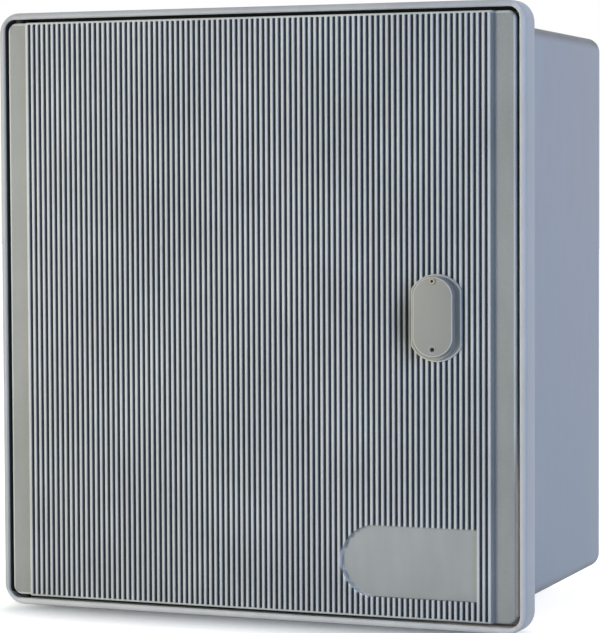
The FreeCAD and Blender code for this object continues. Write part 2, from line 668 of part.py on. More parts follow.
def lock_spindle():
    collar_front = RECESS_Y - SPINDLE_COLLAR_THICKNESS
    stud = polygon_bar(3, KEY_STUD_SIZE * 2 / 3, LOCK_X, 0, CASE_FRONT_Y + KEY_STUD_SETBACK, collar_front)
    arrises = [edge for edge in stud.Edges if edge.BoundBox.YLength > KEY_STUD_ROUND]
    stud = stud.makeFillet(KEY_STUD_ROUND, arrises)
    tail_end = CAM_BACK_Y - FREE_CLEARANCE
    pieces = [
        rod(SPINDLE_COLLAR_DIAMETER, LOCK_X, 0, collar_front, RECESS_Y),
        rod(SPINDLE_DIAMETER, LOCK_X, 0, RECESS_Y, CAM_Y),
        polygon_bar(4, SQUARE_TAIL, LOCK_X, 0, CAM_Y, tail_end),
    ]
    spindle = fused(stud, pieces)
    half = RING_SECTION / 2 + FREE_CLEARANCE
    groove = rod(SPINDLE_DIAMETER + OVERCUT, LOCK_X, 0, ring_groove_y() - half, ring_groove_y() + half)
    core = SPINDLE_DIAMETER - 2 * RING_SECTION
    groove = groove.cut(rod(core, LOCK_X, 0, ring_groove_y() - half, ring_groove_y() + half))
    screw_hole = rod(CAM_SCREW_DIAMETER, LOCK_X, 0, CAM_BACK_Y - CAM_SCREW_LENGTH, tail_end + OVERCUT)
    return without(spindle, [groove, screw_hole])


def spindle_ring():
    """A seal of square section, which lies in the spindle's groove and wipes the barrel's bore."""
    half = RING_SECTION / 2
    outer = rod(SPINDLE_DIAMETER, LOCK_X, 0, ring_groove_y() - half, ring_groove_y() + half)
    core = SPINDLE_DIAMETER - 2 * RING_SECTION + 2 * RUN_CLEARANCE
    return outer.cut(rod(core, LOCK_X, 0, ring_groove_y() - half, ring_groove_y() + half))


def lock_cam():
    """A flat tongue that hangs down when the lock is open."""
    half = CAM_WIDTH / 2
    half_tip = CAM_TIP_WIDTH / 2
    tip_z = -CAM_REACH
    corners = [
        point(LOCK_X + half, CAM_Y, 0),
        point(LOCK_X - half, CAM_Y, 0),
        point(LOCK_X - half_tip, CAM_Y, tip_z),
        point(LOCK_X + half_tip, CAM_Y, tip_z),
    ]
    cam = push(closed_wire(corners, [point(LOCK_X, CAM_Y, half), None, None, None]), CAM_BACK_Y)
    square = polygon_bar(4, SQUARE_TAIL + 2 * RUN_CLEARANCE, LOCK_X, 0, CAM_Y - OVERCUT, CAM_BACK_Y + OVERCUT)
    return cam.cut(square)


def cam_washer():
    back = CAM_BACK_Y + CAM_WASHER_THICKNESS
    washer = rod(CAM_WASHER_DIAMETER, LOCK_X, 0, CAM_BACK_Y, back)
    return washer.cut(rod(CAM_SCREW_DIAMETER + 2 * SCREW_CLEARANCE, LOCK_X, 0, CAM_BACK_Y, back))


def cam_screw():
    seat = CAM_BACK_Y + CAM_WASHER_THICKNESS
    head = polygon_bar(6, CAM_SCREW_ACROSS_FLATS, LOCK_X, 0, seat, seat + CAM_SCREW_HEAD_HEIGHT)
    shank = CAM_SCREW_DIAMETER - 2 * SCREW_CLEARANCE
    return head.fuse(rod(shank, LOCK_X, 0, CAM_BACK_Y - CAM_SCREW_LENGTH + FREE_CLEARANCE, seat))


def lock_cover():
    outline = pill(COVER_WIDTH, COVER_HEIGHT, COVER_END_RISE, LOCK_X, COVER_ABOVE_CENTRE, COVER_FRONT_Y)
    cover = push(outline, COVER_BACK_Y)
    cover = cover.makeFillet(COVER_EDGE_ROUND, edges_in_plane(cover, COVER_FRONT_Y, DOOR_WIDTH, DOOR_HEIGHT))
    eyelet_z = -COVER_SEAL_HOLE_BELOW
    eyelet = rod(COVER_EYELET_DIAMETER, LOCK_X, eyelet_z, COVER_FRONT_Y - COVER_EYELET_RISE, COVER_BACK_Y)
    cover = fused(cover, [eyelet])
    through = (COVER_FRONT_Y - OVERCUT, COVER_BACK_Y + OVERCUT)
    holes = [
        rod(RIVET_SHANK_DIAMETER + 2 * RUN_CLEARANCE, LOCK_X, COVER_PIVOT_ABOVE, *through),
        rod(COVER_SEAL_HOLE_DIAMETER, LOCK_X, eyelet_z, *through),
    ]
    return without(cover, holes)


def cover_rivet():
    head_back = COVER_FRONT_Y - FREE_CLEARANCE / 2
    head_front = head_back - RIVET_HEAD_HEIGHT
    place = (LOCK_X, COVER_PIVOT_ABOVE)
    rivet = fused(
        rod(RIVET_HEAD_DIAMETER, *place, head_front, head_back),
        [rod(RIVET_SHANK_DIAMETER, *place, head_back, CASE_FRONT_Y + RIVET_DEPTH)],
    )
    return rivet.cut(rod(RIVET_BORE_DIAMETER, *place, head_front - OVERCUT, CASE_FRONT_Y + RIVET_DEPTH / 2))


# Strike


def strike_plate():
    """A folded sheet: a leg on the side wall and a hook that the cam turns behind."""
    half = STRIKE_HEIGHT / 2
    leg = block(STRIKE_X - STRIKE_SHEET, STRIKE_X, STRIKE_Y, STRIKE_Y + STRIKE_LENGTH, -half, half)
    hook = block(STRIKE_X - STRIKE_HOOK, STRIKE_X, STRIKE_Y, STRIKE_Y + STRIKE_SHEET, -half, half)
    strike = fused(leg, [hook])
    fold = [
        edge
        for edge in strike.Edges
        if edge.BoundBox.ZLength > half
        and abs(edge.BoundBox.XMin - STRIKE_X) < STRIKE_SHEET / 2
        and abs(edge.BoundBox.YMin - STRIKE_Y) < STRIKE_SHEET / 2
    ]
    strike = strike.makeFillet(STRIKE_SHEET, fold)
    holes = []
    for y, z in strike_screw_points():
        holes.append(along_x(STRIKE_SCREW_DIAMETER, STRIKE_X - STRIKE_SHEET - OVERCUT, STRIKE_X + OVERCUT, y, z))
    return without(strike, holes)


def strike_screws():
    head_x = STRIKE_X - STRIKE_SHEET
    shank = STRIKE_SCREW_DIAMETER - 2 * SCREW_CLEARANCE
    tip = STRIKE_X + STRIKE_SCREW_DEPTH - FREE_CLEARANCE
    screws = []
    for y, z in strike_screw_points():
        head = along_x(STRIKE_SCREW_HEAD_DIAMETER, head_x - STRIKE_SCREW_HEAD_HEIGHT, head_x, y, z)
        screws.append(head.fuse(along_x(shank, head_x, tip, y, z)))
    return Part.makeCompound(screws)


def main():
    os.makedirs("parts", exist_ok=True)
    save("box_body", box_body())
    save("door_seal", door_seal())
    save("mounting_plate", mounting_plate())
    save("plate_screws", plate_screws())
    save("strike_plate", strike_plate())
    save("strike_screws", strike_screws())
    save("door_panel", door_panel())
    for name, sign in (("upper", 1), ("lower", -1)):
        save("hinge_pin_" + name, hinge_pin(sign))
        save("hinge_washer_" + name, hinge_washer(sign))
    save("lock_case", lock_case())
    save("lock_nut", lock_nut())
    save("lock_spindle", lock_spindle())
    save("spindle_ring", spindle_ring())
    save("lock_cam", lock_cam())
    save("cam_washer", cam_washer())
    save("cam_screw", cam_screw())
    save("lock_cover", lock_cover())
    save("cover_rivet", cover_rivet())


main()
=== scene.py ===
"""Looks of the electric meter box: finishes, small hardware and a plain studio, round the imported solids."""

import json
import math

import bmesh
import bpy
from mathutils import Matrix, Vector

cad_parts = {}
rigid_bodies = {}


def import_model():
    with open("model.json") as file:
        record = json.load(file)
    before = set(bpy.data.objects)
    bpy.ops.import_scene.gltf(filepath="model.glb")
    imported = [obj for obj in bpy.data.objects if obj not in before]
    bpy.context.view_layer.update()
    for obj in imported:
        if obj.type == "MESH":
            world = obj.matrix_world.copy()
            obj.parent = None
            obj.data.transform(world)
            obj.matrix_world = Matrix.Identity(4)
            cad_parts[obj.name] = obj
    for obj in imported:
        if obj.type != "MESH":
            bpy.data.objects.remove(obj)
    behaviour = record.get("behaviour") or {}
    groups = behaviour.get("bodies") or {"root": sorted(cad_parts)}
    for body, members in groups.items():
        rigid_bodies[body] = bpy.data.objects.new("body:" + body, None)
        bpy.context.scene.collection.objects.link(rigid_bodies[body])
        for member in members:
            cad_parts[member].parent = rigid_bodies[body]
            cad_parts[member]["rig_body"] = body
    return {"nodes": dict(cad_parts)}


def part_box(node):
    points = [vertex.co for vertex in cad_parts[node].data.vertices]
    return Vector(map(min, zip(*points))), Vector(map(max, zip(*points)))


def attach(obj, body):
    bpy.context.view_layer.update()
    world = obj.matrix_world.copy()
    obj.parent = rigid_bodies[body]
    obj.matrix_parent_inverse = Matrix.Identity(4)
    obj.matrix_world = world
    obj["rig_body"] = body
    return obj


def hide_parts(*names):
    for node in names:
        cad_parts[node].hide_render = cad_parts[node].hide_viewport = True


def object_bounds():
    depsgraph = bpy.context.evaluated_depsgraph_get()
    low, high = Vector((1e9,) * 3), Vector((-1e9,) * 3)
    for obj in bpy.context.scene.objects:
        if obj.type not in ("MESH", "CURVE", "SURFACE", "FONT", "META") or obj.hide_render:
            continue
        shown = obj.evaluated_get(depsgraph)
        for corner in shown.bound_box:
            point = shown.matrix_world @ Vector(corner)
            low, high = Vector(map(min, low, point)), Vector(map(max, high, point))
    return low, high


bl_info = {
    "name": "Electric Meter Box",
    "version": (1, 0, 0),
    "blender": (4, 5, 0),
    "location": "3D View > Sidebar > Meter Box",
    "description": "Finishes and hardware of a moulded meter box with a ribbed door and a covered lock",
    "category": "Object",
}

# A start-up file may hold a cube, a lamp and a camera, which are no part of the box.
for start_up_object in list(bpy.data.objects):
    bpy.data.objects.remove(start_up_object)

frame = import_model()
cad_low, cad_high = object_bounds()

MILLIMETRE = 0.001
FULL_TURN = 2 * math.pi

# Levels and axes that the finishes and the hardware take from the solids
DOOR_LOW, DOOR_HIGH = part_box("door_panel")
CREST_Y = DOOR_LOW.y
LIP_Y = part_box("box_body")[0].y
CASE_LOW, CASE_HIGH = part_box("lock_case")
LOCK_X = (CASE_LOW.x + CASE_HIGH.x) / 2
LOCK_Z = (CASE_LOW.z + CASE_HIGH.z) / 2


def tint(name, description, default):
    return bpy.props.FloatVectorProperty(
        name=name, description=description, default=default, subtype="COLOR", size=3, min=0.0, max=1.0
    )


def measure(name, description, millimetres):
    return bpy.props.FloatProperty(
        name=name,
        description=description,
        default=millimetres * MILLIMETRE,
        min=0.0,
        precision=5,
        subtype="DISTANCE",
        unit="LENGTH",
    )


def angle_property(name, description, degrees):
    return bpy.props.FloatProperty(
        name=name, description=description, default=math.radians(degrees), subtype="ANGLE", unit="ROTATION"
    )


def power_property(name, description, watts):
    return bpy.props.FloatProperty(
        name=name, description=description, default=watts, min=0.0, subtype="POWER", unit="POWER"
    )


class MeterBoxColours(bpy.types.PropertyGroup):
    """Colours of the finishes."""

    box: tint("Box", "Moulded frame", (0.495, 0.508, 0.540))
    # Painted shade: the tub is darker and bluer than the frame
    tub: tint("Tub", "Moulded body behind the frame", (0.376, 0.401, 0.462))
    # Painted shade, darker towards the tub's foot
    tub_foot: tint("Tub foot", "Tub at its foot, under splashes", (0.298, 0.347, 0.422))
    # Painted shade on the tub's top and foot rounds
    soot: tint("Soot", "Dirt on the rounds of the tub", (0.075, 0.082, 0.10))
    door: tint("Door", "Door strips, bare plate and inside", (0.310, 0.322, 0.320))
    # Painted highlight along the door's round edge
    door_edge: tint("Door edge", "Round edge of the door, handled bright", (0.62, 0.65, 0.63))
    plate: tint("Bare plate", "Plate among the ribs", (0.372, 0.390, 0.395))
    # Painted highlight on the rib crests
    rib_crest: tint("Rib crests", "Tops of the door ribs", (0.61, 0.63, 0.65))
    # Painted shade in the grooves between the ribs
    rib_groove: tint("Rib grooves", "Grooves between the ribs", (0.135, 0.148, 0.165))
    lock: tint("Lock", "Lock case and its cover", (0.285, 0.287, 0.272))
    # Painted highlight on the round edges of the lock case and cover
    lock_edge: tint("Lock edge", "Round edges of the lock case and its cover", (0.62, 0.62, 0.60))
    zinc: tint("Zinc", "Plated steel", (0.62, 0.63, 0.64))
    yellow_zinc: tint("Yellow zinc", "Passivated rivet", (0.27, 0.25, 0.19))
    board: tint("Board", "Mounting plate", (0.47, 0.43, 0.36))
    board_speck: tint("Board specks", "Dark fibres in the mounting plate", (0.12, 0.09, 0.06))
    nylon: tint("Nylon", "Hinge washers", (0.012, 0.012, 0.013))
    rubber: tint("Rubber", "Seals", (0.022, 0.022, 0.023))
    # Painted shade in the joint round the door
    grime: tint("Grime", "Dirt in the joint round the door", (0.006, 0.006, 0.007))
    # Painted light in the joint's low lock corner
    joint_dust: tint("Joint dust", "Dust in the joint's low lock corner", (0.74, 0.71, 0.69))
    # Painted highlight on the frame's lip
    worn_lip: tint("Worn lip", "Frame's lip where it is rubbed", (0.78, 0.79, 0.80))
    # Painted shadow of the lock, on its hinge side
    hand_dirt: tint("Hand dirt", "Dirt of fingers beside the lock", (0.045, 0.045, 0.036))
    dust: tint("Dust", "Dust on level faces", (0.62, 0.61, 0.59))
    floor: tint("Floor", "Studio floor", (0.90, 0.90, 0.90))


class MeterBoxSizes(bpy.types.PropertyGroup):
    """Sizes of the finishing work and of the hardware."""

    moulding_round: measure("Moulding edges", "Round on the edges of the box and door", 0.15)
    lock_round: measure("Lock edges", "Round on the edges of the lock case and cover", 0.2)
    metal_round: measure("Metal edges", "Round on the edges of sheet metal and board", 0.25)
    rubber_round: measure("Rubber edges", "Round on the edges of the seals", 0.8)
    frame_depth: measure("Frame depth", "Depth of the frame in front of the tub", 20.0)
    joint_width: measure("Joint width", "Gap between the door and the frame", 2.5)
    joint_depth: measure("Joint depth", "Depth of the rebate that the door lies in", 16.5)
    groove_depth: measure("Groove depth", "Depth of the grooves between the ribs", 3.0)
    face_depth: measure("Face depth", "Depth behind the crests that holds ribs and bare plate", 4.05)
    edge_depth: measure("Edge depth", "Depth behind the crests that holds the door's round edge", 6.9)
    groove_end: measure("Groove end", "Distance from the door's edge to the end of a groove", 1.3)
    rib_field_margin: measure("Rib margin", "Distance from the door's side to the first groove", 17.4)
    plate_length: measure("Bare plate length", "Length of the plate among the ribs", 95.2)
    plate_height: measure("Bare plate height", "Height of the plate among the ribs", 47.0)
    plate_from_side: measure("Bare plate from side", "Distance from the plate to the door's side", 25.7)
    plate_from_foot: measure("Bare plate from foot", "Height of its middle above the door's foot", 37.1)
    # Painted highlight: the pale rim at the plate's round end
    plate_rim_width: measure("Bare plate rim", "Width of the pale rim at the plate's round end", 1.6)
    # Width of the painted highlight along the door's edge
    door_edge_width: measure("Door edge width", "Width of the bright round along the door's edge", 1.5)
    rivet_bore: measure("Rivet bore", "Radius of the hollow rivet's bore", 0.8)
    rivet_shank: measure("Rivet shank", "Radius of the hollow rivet's shank", 1.4)
    plate_screw_head: measure("Plate screw head", "Radius of the head", 4.5)
    plate_screw_shank: measure("Plate screw shank", "Radius of the shank", 2.2)
    plate_screw_height: measure("Plate screw head height", "Height of the head", 2.8)
    strike_screw_head: measure("Strike screw head", "Radius of the head", 3.25)
    strike_screw_shank: measure("Strike screw shank", "Radius of the shank", 1.7)
    strike_screw_height: measure("Strike screw head height", "Height of the head", 2.0)
    nut_bore: measure("Nut bore", "Radius of the lock nut's bore", 10.05)
    cam_screw_shank: measure("Cam screw shank", "Radius of the shank", 2.45)
    cam_screw_height: measure("Cam screw head height", "Height of the hexagon", 3.5)
    # Size of the painted shadow beside the lock
    hand_dirt_width: measure("Hand dirt width", "Half width of the dirt beside the lock", 17.0)
    hand_dirt_height: measure("Hand dirt height", "Half height of the dirt beside the lock", 40.0)
    barrel_radius: measure("Barrel radius", "Radius of the lock barrel", 10.0)
    thread_pitch: measure("Thread pitch", "Pitch of the thread on the lock barrel", 1.5)
    thread_rise: measure("Thread rise", "Height of the thread on the lock barrel", 0.5)


class MeterBoxStudio(bpy.types.PropertyGroup):
    """Camera, lamps and floor."""

    camera_place: bpy.props.FloatVectorProperty(
        name="Camera place",
        description="Where the camera stands",
        default=(0.7858, -1.9548, 0.0986),
        size=3,
        subtype="TRANSLATION",
        unit="LENGTH",
    )
    camera_turn: angle_property("Camera turn", "Turn of the camera to its left", 23.3676)
    camera_dip: angle_property("Camera dip", "How far the camera looks down", 3.0024)
    camera_roll: angle_property("Camera roll", "Roll of the camera", -0.2697)
    lens: bpy.props.FloatProperty(
        name="Lens", description="Focal length of the camera", default=162.69, min=1.0, unit="CAMERA"
    )
    key_power: power_property("Key lamp", "Soft lamp in front, on the hinge side", 11.2)
    top_power: power_property("Top lamp", "Soft lamp above", 5.0)
    fill_power: power_property("Fill lamp", "Cool soft lamp in front, on the lock side", 4.6)
    side_power: power_property("Side lamp", "Soft lamp beside the box, on the lock side", 6.1)
    back_power: power_property("Back lamp", "Soft lamp behind the box, on the hinge side", 7.0)
    sky_strength: bpy.props.FloatProperty(
        name="Sky", description="Strength of the even light from all round", default=0.22, min=0.0
    )
    contact_reach: measure("Contact shade", "Reach of the shade where the floor meets the box", 110.0)


def colours():
    return bpy.context.scene.meter_box_colours


def sizes():
    return bpy.context.scene.meter_box_sizes


def studio():
    return bpy.context.scene.meter_box_studio


# Shader nodes


def add_node(tree, kind, values=None, **settings):
    """A node with its settings made and its inputs set or linked."""
    made = tree.nodes.new(kind)
    for key, value in settings.items():
        setattr(made, key, value)
    for key, value in (values or {}).items():
        if isinstance(value, bpy.types.NodeSocket):
            tree.links.new(value, made.inputs[key])
        else:
            made.inputs[key].default_value = value
    return made


def arithmetic(tree, operation, first, second=0.0, clamp=False):
    values = {0: first, 1: second}
    return add_node(tree, "ShaderNodeMath", values, operation=operation, use_clamp=clamp).outputs[0]


def product(tree, *factors):
    result = factors[0]
    for factor in factors[1:]:
        result = arithmetic(tree, "MULTIPLY", result, factor)
    return result


def weighted_sum(tree, start, *parts, clamp=False):
    """The start, with each part's value times its weight added to it."""
    result = start
    for value, weight in parts:
        result = arithmetic(tree, "ADD", result, product(tree, value, weight), clamp)
    return result


def minus(tree, first, second):
    return arithmetic(tree, "SUBTRACT", first, second)


def absolute(tree, value):
    return arithmetic(tree, "ABSOLUTE", value)


def larger(tree, first, second):
    return arithmetic(tree, "MAXIMUM", first, second)


def without(tree, mask):
    return minus(tree, 1.0, mask)


def below(tree, value, limit):
    return arithmetic(tree, "LESS_THAN", value, limit)


def above(tree, value, limit):
    return arithmetic(tree, "GREATER_THAN", value, limit)


def vector_math(tree, operation, *values):
    result = "Value" if operation in ("DOT_PRODUCT", "LENGTH") else "Vector"
    made = add_node(tree, "ShaderNodeVectorMath", dict(enumerate(values)), operation=operation)
    return made.outputs[result]


def axes_of(tree, vector):
    return add_node(tree, "ShaderNodeSeparateXYZ", {0: vector}).outputs


def face_normal(tree):
    return tree.nodes.new("ShaderNodeNewGeometry").outputs["Normal"]


def ranged(tree, value, start, end, low=0.0, high=1.0):
    """The value's place between start and end, eased, and put between low and high."""
    values = {"Value": value, "From Min": start, "From Max": end, "To Min": low, "To Max": high}
    return add_node(tree, "ShaderNodeMapRange", values, interpolation_type="SMOOTHSTEP").outputs["Result"]


def mixed(tree, factor, first, second):
    values = {0: factor, 6: first, 7: second}
    return add_node(tree, "ShaderNodeMix", values, data_type="RGBA").outputs[2]


def noise(tree, place, scale, detail=2.0, roughness=0.5):
    values = {"Vector": place, "Scale": scale, "Detail": detail, "Roughness": roughness}
    return add_node(tree, "ShaderNodeTexNoise", values).outputs[0]


def patches(tree, place, scale, detail, start, least):
    """Soft patches between the least value and 1."""
    return ranged(tree, noise(tree, place, scale, detail), start, 0.7, least, 1.0)


def stretched(tree, place, scale):
    return add_node(tree, "ShaderNodeMapping", {"Vector": place, "Scale": scale}).outputs[0]


def brightened(tree, colour, value):
    return add_node(tree, "ShaderNodeHueSaturation", {"Color": colour, "Value": value}).outputs["Color"]


def opaque(colour):
    return (colour[0], colour[1], colour[2], 1.0)


# Shared effects, each a node group that is built once

SKIN = {"Color": "Color", "Roughness": "Float", "Height": "Float"}
MASK = {"Mask": "Float"}
# How far a painted area reaches past the edge that it follows
SLACK = 0.2 * MILLIMETRE


def new_group(name, outputs, **inputs):
    """An empty node group with its sockets, the place that it reads, and all that it is given."""
    group = bpy.data.node_groups.new(name, "ShaderNodeTree")
    for in_out, sockets in (("INPUT", {"Place": "Vector", **inputs}), ("OUTPUT", outputs)):
        for socket_name, kind in sockets.items():
            group.interface.new_socket(name=socket_name, in_out=in_out, socket_type="NodeSocket" + kind)
    given = group.nodes.new("NodeGroupInput").outputs
    return group, given["Place"], given


def put_out(group, **results):
    """The group, with its results linked."""
    add_node(group, "NodeGroupOutput", results)
    return group


def moulded_grain():
    """Cloudy tone, pimpled skin and uneven gloss of a moulding."""
    inputs = {"Tone": "Color", "Mottle": "Float", "Gloss": "Float"}
    group, place, given = new_group("moulded_grain", SKIN, **inputs)
    cloud = noise(group, place, scale=16.0, detail=3.0)
    flow = noise(group, stretched(group, place, (1.0, 1.0, 0.2)), scale=120.0, detail=3.0)
    pimple = noise(group, place, scale=620.0)
    speck = noise(group, place, scale=2100.0, detail=1.0)
    uneven = weighted_sum(group, -1.15, (cloud, 1.1), (flow, 0.5), (speck, 0.7))
    value = weighted_sum(group, 1.0, (uneven, given["Mottle"]))
    return put_out(
        group,
        Color=brightened(group, given["Tone"], value),
        Roughness=weighted_sum(group, given["Gloss"], (uneven, 0.16), clamp=True),
        Height=weighted_sum(group, pimple, (speck, 0.35)),
    )


def settled_dust():
    """Where dust lies: on faces that look up, in patches."""
    group, place, given = new_group("settled_dust", MASK, Amount="Float")
    level = ranged(group, axes_of(group, face_normal(group))["Z"], 0.35, 0.95)
    patch = patches(group, place, scale=45.0, detail=4.0, start=0.35, least=0.35)
    return put_out(group, Mask=product(group, level, patch, given["Amount"]))


def outside_tub():
    """Where a face of the box lies behind the frame and looks outwards."""
    group, place, _ = new_group("outside_tub", MASK)
    middle = (0.0, (LIP_Y + cad_high.y) / 2, 0.0)
    from_middle = vector_math(group, "SUBTRACT", place, middle)
    outward = above(group, vector_math(group, "DOT_PRODUCT", from_middle, face_normal(group)), 0.0)
    depth = minus(group, axes_of(group, place)["Y"], LIP_Y)
    behind = ranged(group, depth, 0.9 * sizes().frame_depth, 1.2 * sizes().frame_depth)
    return put_out(group, Mask=product(group, outward, behind))


def sooty_round():
    """Painted shade on the rounds at the box's top and foot, and less on the flats."""
    group, place, given = new_group("sooty_round", MASK, Amount="Float")
    level = absolute(group, axes_of(group, face_normal(group))["Z"])
    on_round = ranged(group, level, 0.05, 0.75)
    less_on_flat = ranged(group, level, 0.99, 0.999, 1.0, 0.25)
    height = absolute(group, axes_of(group, place)["Z"])
    at_end = above(group, height, 0.8 * cad_high.z)
    patch = patches(group, place, scale=40.0, detail=4.0, start=0.3, least=0.85)
    mask = product(group, on_round, less_on_flat, at_end, given["Amount"], patch)
    return put_out(group, Mask=mask)


def past_door_edge(tree, axes):
    """How far a place lies past the door's nearest edge. It is less than zero on the door."""
    sideways = minus(tree, absolute(tree, axes["X"]), DOOR_HIGH.x)
    upright = minus(tree, absolute(tree, axes["Z"]), DOOR_HIGH.z)
    return larger(tree, sideways, upright)


def low_lock_corner(tree, axes):
    """1 near the door's low corner on the lock side."""
    near_side = ranged(tree, axes["X"], 0.5 * DOOR_HIGH.x, 0.8 * DOOR_HIGH.x)
    near_foot = ranged(tree, axes["Z"], 0.3 * DOOR_LOW.z, 0.6 * DOOR_LOW.z)
    return product(tree, near_side, near_foot)


def joint_grime():
    """Painted shade in the joint round the door, and painted light in its low lock corner."""
    outputs = {"Mask": "Float", "Dust": "Float"}
    group, place, given = new_group("joint_grime", outputs, Start="Float", End="Float")
    axes = axes_of(group, place)
    past_edge = past_door_edge(group, axes)
    past_door = above(group, past_edge, -SLACK)
    past_joint = above(group, past_edge, sizes().joint_width + SLACK)
    depth = minus(group, axes["Y"], LIP_Y)
    in_front = below(group, depth, sizes().joint_depth + SLACK)
    joint = product(group, in_front, minus(group, past_door, past_joint))
    deeper_at_foot = ranged(group, axes["Z"], DOOR_LOW.z + 2 * MILLIMETRE, DOOR_LOW.z, 1.0, 4.0)
    start = product(group, given["Start"], deeper_at_foot)
    end = product(group, given["End"], deeper_at_foot)
    near_side = ranged(group, axes["X"], 0.0, 0.8 * DOOR_HIGH.x)
    near_foot = ranged(group, axes["Z"], 0.3 * DOOR_HIGH.z, 0.8 * DOOR_LOW.z)
    # Less painted shade near the door's low lock corner
    corner_lift_share = 0.85
    shade_kept = without(group, product(group, near_side, near_foot, corner_lift_share))
    mask = product(group, ranged(group, depth, start, end), joint, shade_kept)
    # Mask is painted shade in the joint; Dust is painted light in its low lock corner
    return put_out(group, Mask=mask, Dust=product(group, joint, low_lock_corner(group, axes)))


def worn_lip():
    """Painted highlight on the frame's lip: along its foot, and on the lock side, most on its edge."""
    group, place, _ = new_group("worn_lip", MASK)
    axes = axes_of(group, place)
    depth = minus(group, axes["Y"], LIP_Y)
    in_front = ranged(group, depth, 2.2 * MILLIMETRE, 0.8 * MILLIMETRE)
    fade = 4 * MILLIMETRE
    foot_highlight = 0.75
    side_highlight = 0.4
    lip_edge_highlight = 2.0
    foot = ranged(group, axes["Z"], DOOR_LOW.z + fade, DOOR_LOW.z, 0.0, foot_highlight)
    side = ranged(group, axes["X"], DOOR_HIGH.x - fade, DOOR_HIGH.x, 0.0, side_highlight)
    lip_edge = DOOR_HIGH.x + sizes().joint_width
    near_edge = ranged(group, axes["X"], lip_edge + 1.2 * MILLIMETRE, lip_edge + 0.5 * MILLIMETRE)
    clear_of_corner = without(group, low_lock_corner(group, axes))
    bright_edge = product(group, near_edge, side, lip_edge_highlight, clear_of_corner)
    highlit = larger(group, foot, larger(group, side, bright_edge))
    patch = patches(group, place, scale=60.0, detail=3.0, start=0.3, least=0.7)
    return put_out(group, Mask=product(group, in_front, highlit, patch))


def hand_dirt():
    """Painted shadow of the lock: an uneven oval beside it, on the hinge side."""
    group, place, _ = new_group("hand_dirt", MASK)
    size = sizes()
    middle = (CASE_LOW.x - 3 * MILLIMETRE, 0.0, LOCK_Z - 4 * MILLIMETRE)
    oval = (1 / size.hand_dirt_width, 0.0, 1 / size.hand_dirt_height)
    from_middle = vector_math(group, "SUBTRACT", place, middle)
    reach = vector_math(group, "LENGTH", vector_math(group, "MULTIPLY", from_middle, oval))
    uneven_reach = weighted_sum(group, reach, (noise(group, place, scale=90.0, detail=3.0), 0.3))
    mask = ranged(group, uneven_reach, 1.1, 0.3, 0.0, 0.6)
    depth = minus(group, axes_of(group, place)["Y"], CREST_Y)
    on_face = below(group, depth, size.face_depth)
    return put_out(group, Mask=product(group, mask, on_face))


def bare_plate(tree, axes):
    """Where a place lies off the bare plate, and where it lies on the rim of the plate's round end, which
    gets a painted highlight. The plate has one round end, on the hinge side, and its painted rim shows on the
    low half of the round.
    """
    size = sizes()
    round_end = size.plate_height / 2
    rim = size.plate_rim_width
    plate_right = DOOR_HIGH.x - size.plate_from_side
    from_end = minus(tree, axes["X"], plate_right - size.plate_length + round_end)
    from_middle = minus(tree, axes["Z"], DOOR_LOW.z + size.plate_from_foot)
    flat = {"X": arithmetic(tree, "MINIMUM", from_end, 0.0), "Z": from_middle}
    reach = vector_math(tree, "LENGTH", add_node(tree, "ShaderNodeCombineXYZ", flat).outputs[0])
    past_round = above(tree, reach, round_end + SLACK)
    past_right = above(tree, axes["X"], plate_right + SLACK)
    on_rim = product(
        tree,
        ranged(tree, reach, round_end - 0.4 * MILLIMETRE, round_end - 0.1 * MILLIMETRE),
        ranged(tree, reach, round_end + rim, round_end + rim / 2),
        ranged(tree, from_end, 0.0, -0.25 * round_end),
        ranged(tree, from_middle, 0.6 * round_end, 0.1 * round_end),
    )
    return larger(tree, past_round, past_right), on_rim


def rib_tone():
    """Tones of the door: painted highlights on the crests, painted shade in the grooves, the bare plate with
    a painted highlight on its rim, and a painted highlight along the edge.
    """
    inputs = dict.fromkeys(("Tone", "Crest", "Groove", "Plate", "Edge"), "Color")
    group, place, given = new_group("rib_tone", {"Color": "Color"}, **inputs)
    size = sizes()
    axes = axes_of(group, place)
    depth = minus(group, axes["Y"], CREST_Y)
    on_face = below(group, depth, size.face_depth)
    off_plate, on_rim = bare_plate(group, axes)
    on_plate = arithmetic(group, "SUBTRACT", on_face, off_plate, clamp=True)
    # Painted shade in the grooves
    on_groove = product(
        group,
        ranged(group, depth, 0.3 * MILLIMETRE, 1.6 * MILLIMETRE),
        below(group, depth, size.groove_depth + 0.15 * MILLIMETRE),
        below(group, absolute(group, axes["X"]), DOOR_HIGH.x - size.rib_field_margin),
        below(group, absolute(group, axes["Z"]), DOOR_HIGH.z - size.groove_end),
        off_plate,
    )
    # Painted highlight along the door's round edge
    edge_width = size.door_edge_width
    on_edge = product(
        group,
        ranged(group, past_door_edge(group, axes), -1.25 * edge_width, -0.75 * edge_width),
        below(group, depth, size.edge_depth),
        without(group, low_lock_corner(group, axes)),
    )
    # Painted highlight on the crests
    on_crest = ranged(group, depth, 0.6 * MILLIMETRE, 0.1 * MILLIMETRE)
    colour = mixed(group, on_crest, given["Tone"], given["Crest"])
    colour = mixed(group, on_plate, colour, given["Plate"])
    colour = mixed(group, on_edge, colour, given["Edge"])
    colour = mixed(group, on_groove, colour, given["Groove"])
    # Painted highlight on the rim of the plate's round end
    rim_highlight = brightened(group, given["Crest"], 1.3)
    colour = mixed(group, product(group, on_rim, on_face), colour, rim_highlight)
    return put_out(group, Color=colour)


